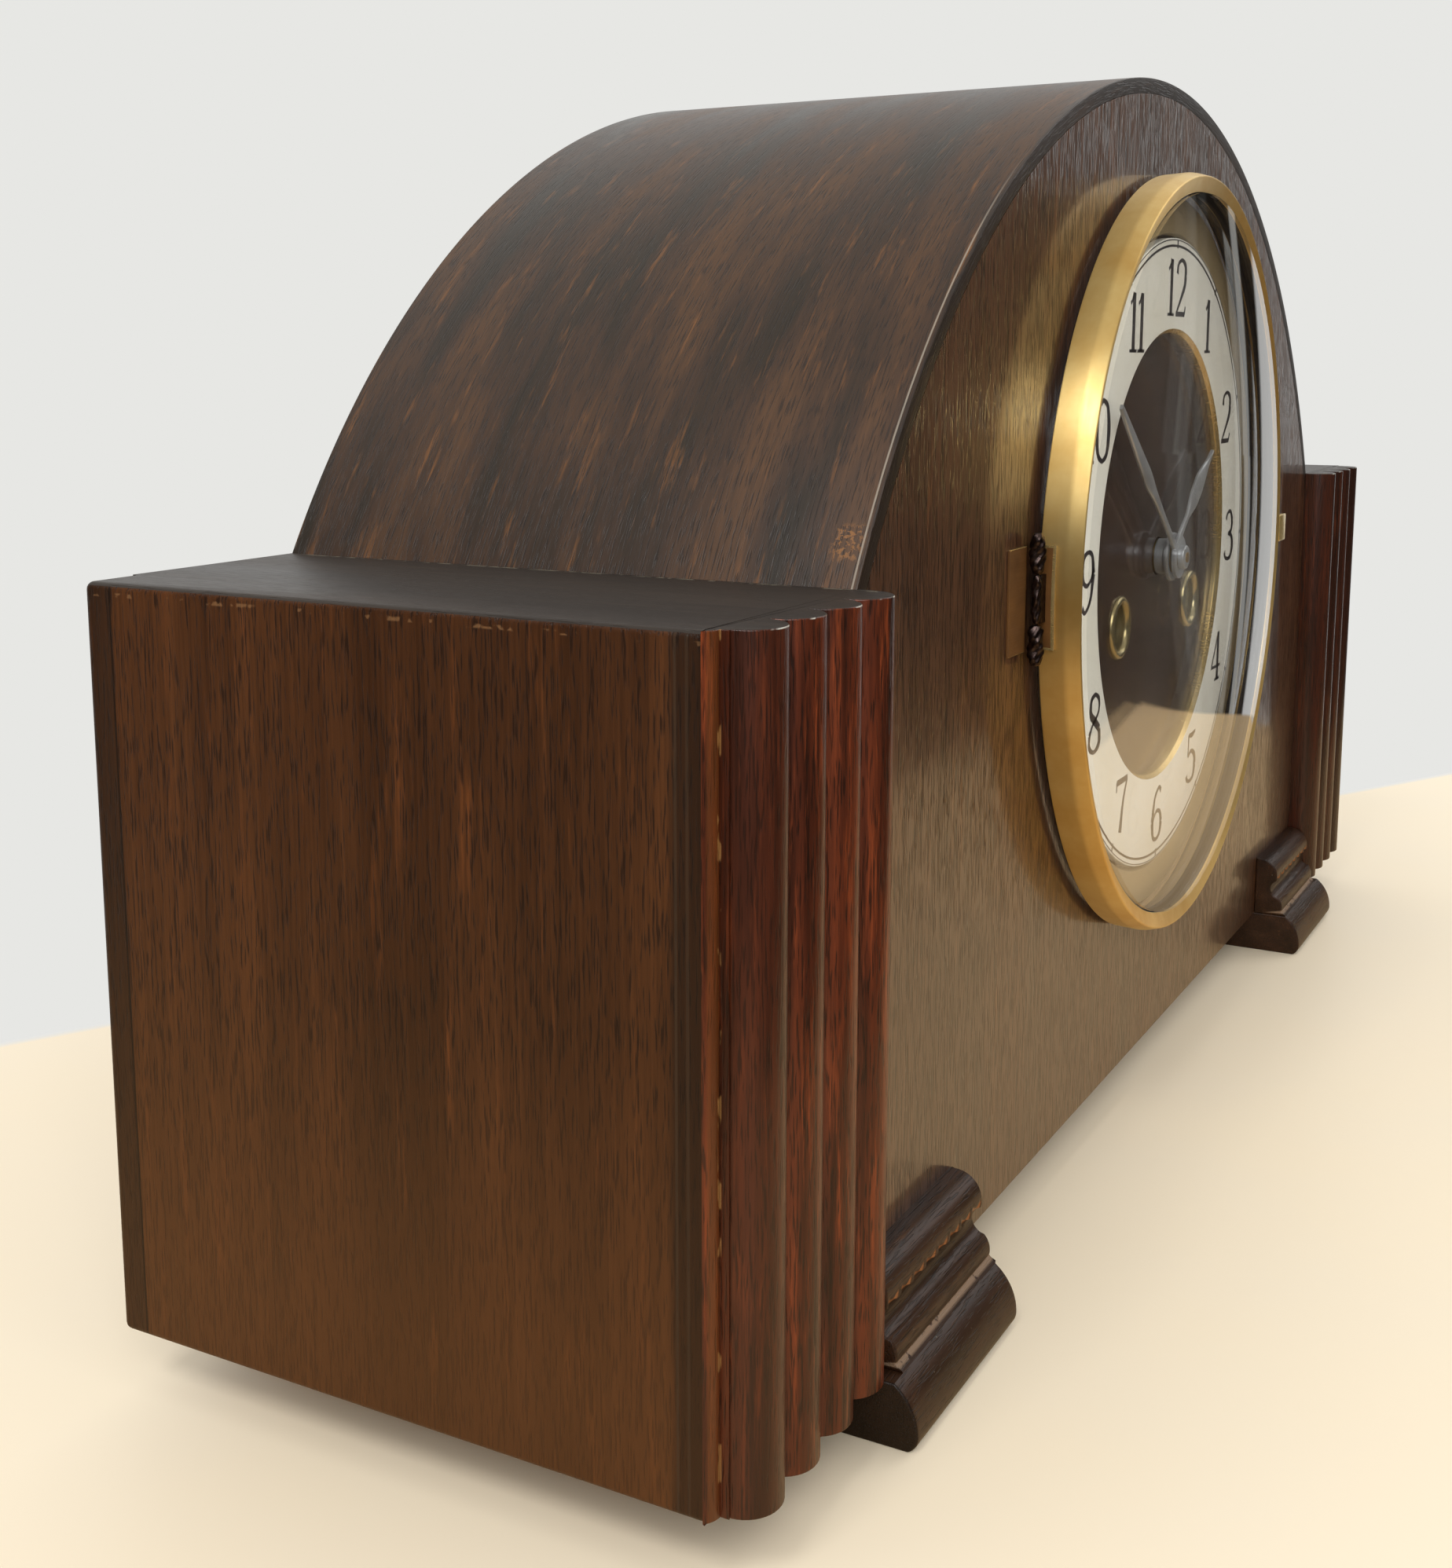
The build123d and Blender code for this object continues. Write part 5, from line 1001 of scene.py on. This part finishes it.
def strokeShape(stroke, size, middle, thickness, wide=1.0):
    # a flat ribbon along the line, its half width read with the line, standing a little proud of the ring
    line = smoothLine(stroke) * np.array([wide, 1, 1])
    slope = np.gradient(line[:, :2], axis=0)
    slope /= np.linalg.norm(slope, axis=1)[:, None]
    normal = np.stack([-slope[:, 1], slope[:, 0]], -1) * line[:, 2:] * dial["strokeShare"]
    left, right = line[:, :2] + normal, line[:, :2] - normal
    ring = np.stack([left, left, right, right], 1) * size + middle
    return ringSurface(dialPlaces(ring[..., 0], ringTop + np.array([0, thickness, thickness, 0]), ring[..., 1]))


def hourWay(hour):
    return np.array([np.sin(radians(30 * hour)), np.cos(radians(30 * hour))])


numerals = []
high, wide = dial["numeralHeight"], dial["numeralWidth"]
for hour in range(1, 13):
    text = str(hour)
    pitch = high * dial["elevenPitch" if hour == 11 else "digitPitch"]
    for place, digit in enumerate(text):
        aside = (place - (len(text) - 1) / 2) * pitch - (dial["tenAside"] if hour == 10 else 0)
        middle = hourWay(hour) * dial["numeralReach"] + (aside, -high / 2)
        numerals += [strokeShape(stroke, high / 100, middle, ink, wide) for stroke in numeralStrokes[digit]]
makePiece("dialNumerals", numerals, [numeralInk], "case")


def lineRing(radius, width):
    inner, outer, top = radius - width / 2, radius + width / 2, ringTop + ink
    return turned(closed(np.array([(inner, ringTop), (inner, top), (outer, top), (outer, ringTop)])))


track = [lineRing(dial["trackRadius"], dial["trackWidth"]), lineRing(dial["edgeLineRadius"], dial["edgeLineWidth"])]
for hour in range(12):
    radii = (dial["trackRadius"] - dial["tickFrom"], dial["outer"] - dial["tickTo"])
    tick = [(*(hourWay(hour) * radius), dial["tickHalf"]) for radius in radii]
    track.append(strokeShape(tick, 1.0, 0.0, ink * 1.1))
makePiece("minuteTrack", track, [numeralInk], "case")
print("dial made")

# Hands: leaf shapes given by stations of share along and half width in millimetres
handSection = dict(thickness=0.8, across=(-1, -1, -0.8, 0, 0.8, 1, 1), rise=(0, 0.45, 0.8, 1.0, 0.8, 0.45, 0))
collet = dict(rim=0.5, step=0.15, cut=0.15, turns=72)
hands = (
    dict(
        name="minuteHand", node="minute_hand", body="minute", length=56.0, angle=306.0, level=4.8, hub=4.6, bore=2.25,
        stations=((0, 0.9), (0.3, 0.8), (0.44, 1.2), (0.55, 2.1), (0.6, 1.9), (0.82, 1.2), (0.97, 0.75), (1, 0.5)),
    ),
    dict(
        name="hourHand", node="hour_hand", body="hour", length=37.5, angle=55.5, level=3.4, hub=5.2, bore=3.45,
        stations=((0, 1.0), (0.38, 0.75), (0.43, 1.5), (0.52, 2.6), (0.66, 2.9), (0.8, 1.7), (0.88, 0.8), (1, 0.35)),
    ),
)
hourPipe = ((3.43, 0.8), (3.8, 0.8), (3.8, 2.7), (4.4, 2.9), (4.4, 3.35), (3.43, 3.35))


def handShape(look):
    # each station's section is flat behind and bevelled to a low ridge in front
    share = np.linspace(0, 1, 90)
    half = np.interp(share, *np.transpose(look["stations"]))
    blur = np.array([1, 2, 3, 2, 1]) / 9
    half = np.convolve(np.pad(half, 2, mode="edge"), blur, mode="valid")
    side = half[:, None] * np.array(handSection["across"])
    rise = np.array(handSection["rise"]) * handSection["thickness"]
    forward = (share * look["length"])[:, None]
    turn = radians(look["angle"])
    aside = forward * np.sin(turn) + side * np.cos(turn)
    return ringSurface(dialPlaces(aside, look["level"] + rise, forward * np.cos(turn) - side * np.sin(turn)))


def colletShape(look):
    bore, hub, back = look["bore"], look["hub"], look["level"]
    front, rim = back + handSection["thickness"], bore + collet["rim"]
    low = front - collet["step"]
    corners = [(bore, back), (hub, back), (hub, front), (rim, front), (rim, low), (bore, low)]
    return turned(closed(softened(corners, collet["cut"], 4)), turns=collet["turns"])


for look in hands:
    shapes = [handShape(look), colletShape(look)]
    makePiece(look["name"], shapes, [handSilver], look["body"], [look["node"]])
sleeve = turned(closed(softened(hourPipe, 0.1, 4)), turns=collet["turns"])
makePiece("hourSleeve", [sleeve], [handSilver], "hour")
print("hands made")

# Stage: a plain cream floor that ends in white behind a slanting line, and turns dark in mirrors past its edge
stageLook = dict(
    reach=3.0, cream=(252, 236, 207), creamMirrored=(240, 204, 150), white=(231, 231, 228), clouds=(60, 60, 60),
    lineTurn=(0.483, 0.876), lineAway=0.1245, lineEdge=0.002,
    mirrorFront=-0.215, mirrorRight=0.44, mirrorLeft=(-0.5, -0.25), mirrorEdge=0.004, mirrorFrom=(0.05, -0.055),
)
# Light: an even soft world that mirrors show as a white far side, a bright top and dark near sides, and three lamps
lightLook = dict(
    backdrop=(231, 231, 228), farSide=(1.0, 1.0, 0.98, 1), farSlope=-0.157, darkSide=(0.014, 0.011, 0.009, 1),
    above=(0.62, 0.60, 0.56, 1), soft=0.82,
    strips=((-0.201, 0.009, 0.6), (-0.262, 0.01, 0.06), (-0.285, 0.012, 0.13)),
    ahead=(-0.25, 0.1), nearest=0.05, edge=0.004,
    lamps=dict(
        keyLamp=dict(place=(-1.2, -0.75, 0.95), size=0.8, power=8.0),
        sideLamp=dict(place=(-1.2, 0.0, 1.4), size=0.45, power=7.0),
        fillLamp=dict(place=(1.1, -0.7, 0.9), size=0.8, power=3.0),
    ),
)


def mirroredTone(tree, look, across, out):
    # what mirrors show ahead: dark, with upright pale strips, and white past a slope of out over across
    ahead = spread(tree, across, *look["ahead"])
    slope = calculate(tree, "DIVIDE", out, calculate(tree, "MAXIMUM", across, look["nearest"]))
    tone = look["darkSide"]
    for middle, half, bright in look["strips"]:
        distance = calculate(tree, "ABSOLUTE", calculate(tree, "SUBTRACT", slope, middle))
        inside = times(tree, spread(tree, distance, half * 0.6, half, 1.0, 0.0), ahead)
        tone = blendColours(tree, inside, tone, (bright, bright, bright * 0.95, 1))
    farSide = times(tree, stepAt(tree, slope, look["farSlope"], look["edge"]), ahead)
    return blendColours(tree, farSide, tone, look["farSide"])


def mirrorShare(tree, rays):
    # one for what any mirror shows, also through glass
    return calculate(tree, "MINIMUM", rays["Glossy Depth"], 1.0)


def makeFloor(look, mirrorLook):
    reach = look["reach"]
    mesh = bpy.data.meshes.new("paleFloor")
    corners = [(-reach, -reach, 0), (reach, -reach, 0), (reach, reach, 0), (-reach, reach, 0)]
    mesh.from_pydata(corners, [], [(0, 1, 2, 3)])
    made, tree, shader = newMaterial("paleFloor")
    base = surfacePlaces(tree)
    white = paint(*look["white"])
    right, back = addNode(tree, "SeparateXYZ", {"Vector": base}).outputs[:2]
    clouds = spread(tree, stretchedNoise(tree, base, look["clouds"], 3.0, 0.5), 0.3, 0.7, 0.0, 0.08)
    creamTone = blendColours(tree, clouds, paint(*look["cream"]), white)
    away = calculate(tree, "ADD", *(times(tree, *pair) for pair in zip((right, back), look["lineTurn"])))
    beyond = stepAt(tree, away, look["lineAway"], look["lineEdge"])
    rays = addNode(tree, "LightPath").outputs
    mirrored = mirrorShare(tree, rays)
    creamTone = blendColours(tree, mirrored, creamTone, paint(*look["creamMirrored"]))
    floorTone = blendColours(tree, beyond, creamTone, white)
    setInputs(tree, shader, {"Base Color": floorTone, "Roughness": 0.45, "Specular IOR Level": 0.3})
    across, out = (calculate(tree, "SUBTRACT", *pair) for pair in zip((right, back), look["mirrorFrom"]))
    dark = addNode(tree, "Emission", {"Color": mirroredTone(tree, mirrorLook, across, out), "Strength": 1.0})
    plain = addNode(tree, "Emission", {"Color": white, "Strength": 1.0})
    before = stepAt(tree, back, look["mirrorFront"], look["mirrorEdge"], 1.0, 0.0)
    outside = calculate(tree, "MAXIMUM", before, stepAt(tree, right, look["mirrorRight"], look["mirrorEdge"]))
    outside = calculate(tree, "MAXIMUM", outside, spread(tree, right, *look["mirrorLeft"], 1.0, 0.0))
    lit = mixShaders(tree, times(tree, outside, mirrored), shader, dark)
    showShader(tree, mixShaders(tree, times(tree, beyond, rays["Is Camera Ray"]), lit, plain))
    mesh.materials.append(made)
    addObject("paleFloor", mesh)


def makeWorld(look):
    world = bpy.data.worlds.new("softWorld")
    bpy.context.scene.world = world
    world.use_nodes = True
    tree = world.node_tree
    tree.nodes.clear()
    right, back, up = addNode(tree, "SeparateXYZ", {"Vector": surfacePlaces(tree, "Generated")}).outputs
    mirrored = mirroredTone(tree, look, right, back)
    mirrored = blendColours(tree, spread(tree, up, 0.4, 0.75), mirrored, look["above"])
    rays = addNode(tree, "LightPath").outputs
    seen = calculate(tree, "ADD", rays["Is Camera Ray"], rays["Is Transmission Ray"], True)
    soft, glossy, plain = (
        addNode(tree, "Background", {"Color": colour, "Strength": strength})
        for colour, strength in (((1, 1, 1, 1), look["soft"]), (mirrored, 1.0), (paint(*look["backdrop"]), 1.0))
    )
    shown = mixShaders(tree, mirrorShare(tree, rays), mixShaders(tree, seen, soft, plain), glossy)
    addNode(tree, "OutputWorld", {"Surface": shown.outputs[0]}).is_active_output = True


def makeLamp(name, look):
    lamp = bpy.data.lights.new(name, "AREA")
    lamp.size = look["size"]
    lamp.energy = look["power"]
    holder = addObject(name, lamp)
    holder.location = look["place"]
    towards = Vector((0, 0, dialZ)) - holder.location
    holder.rotation_euler = towards.to_track_quat("-Z", "Y").to_euler()


makeFloor(stageLook, lightLook)
makeWorld(lightLook)
for name, look in lightLook["lamps"].items():
    makeLamp(name, look)
print("stage and light made")
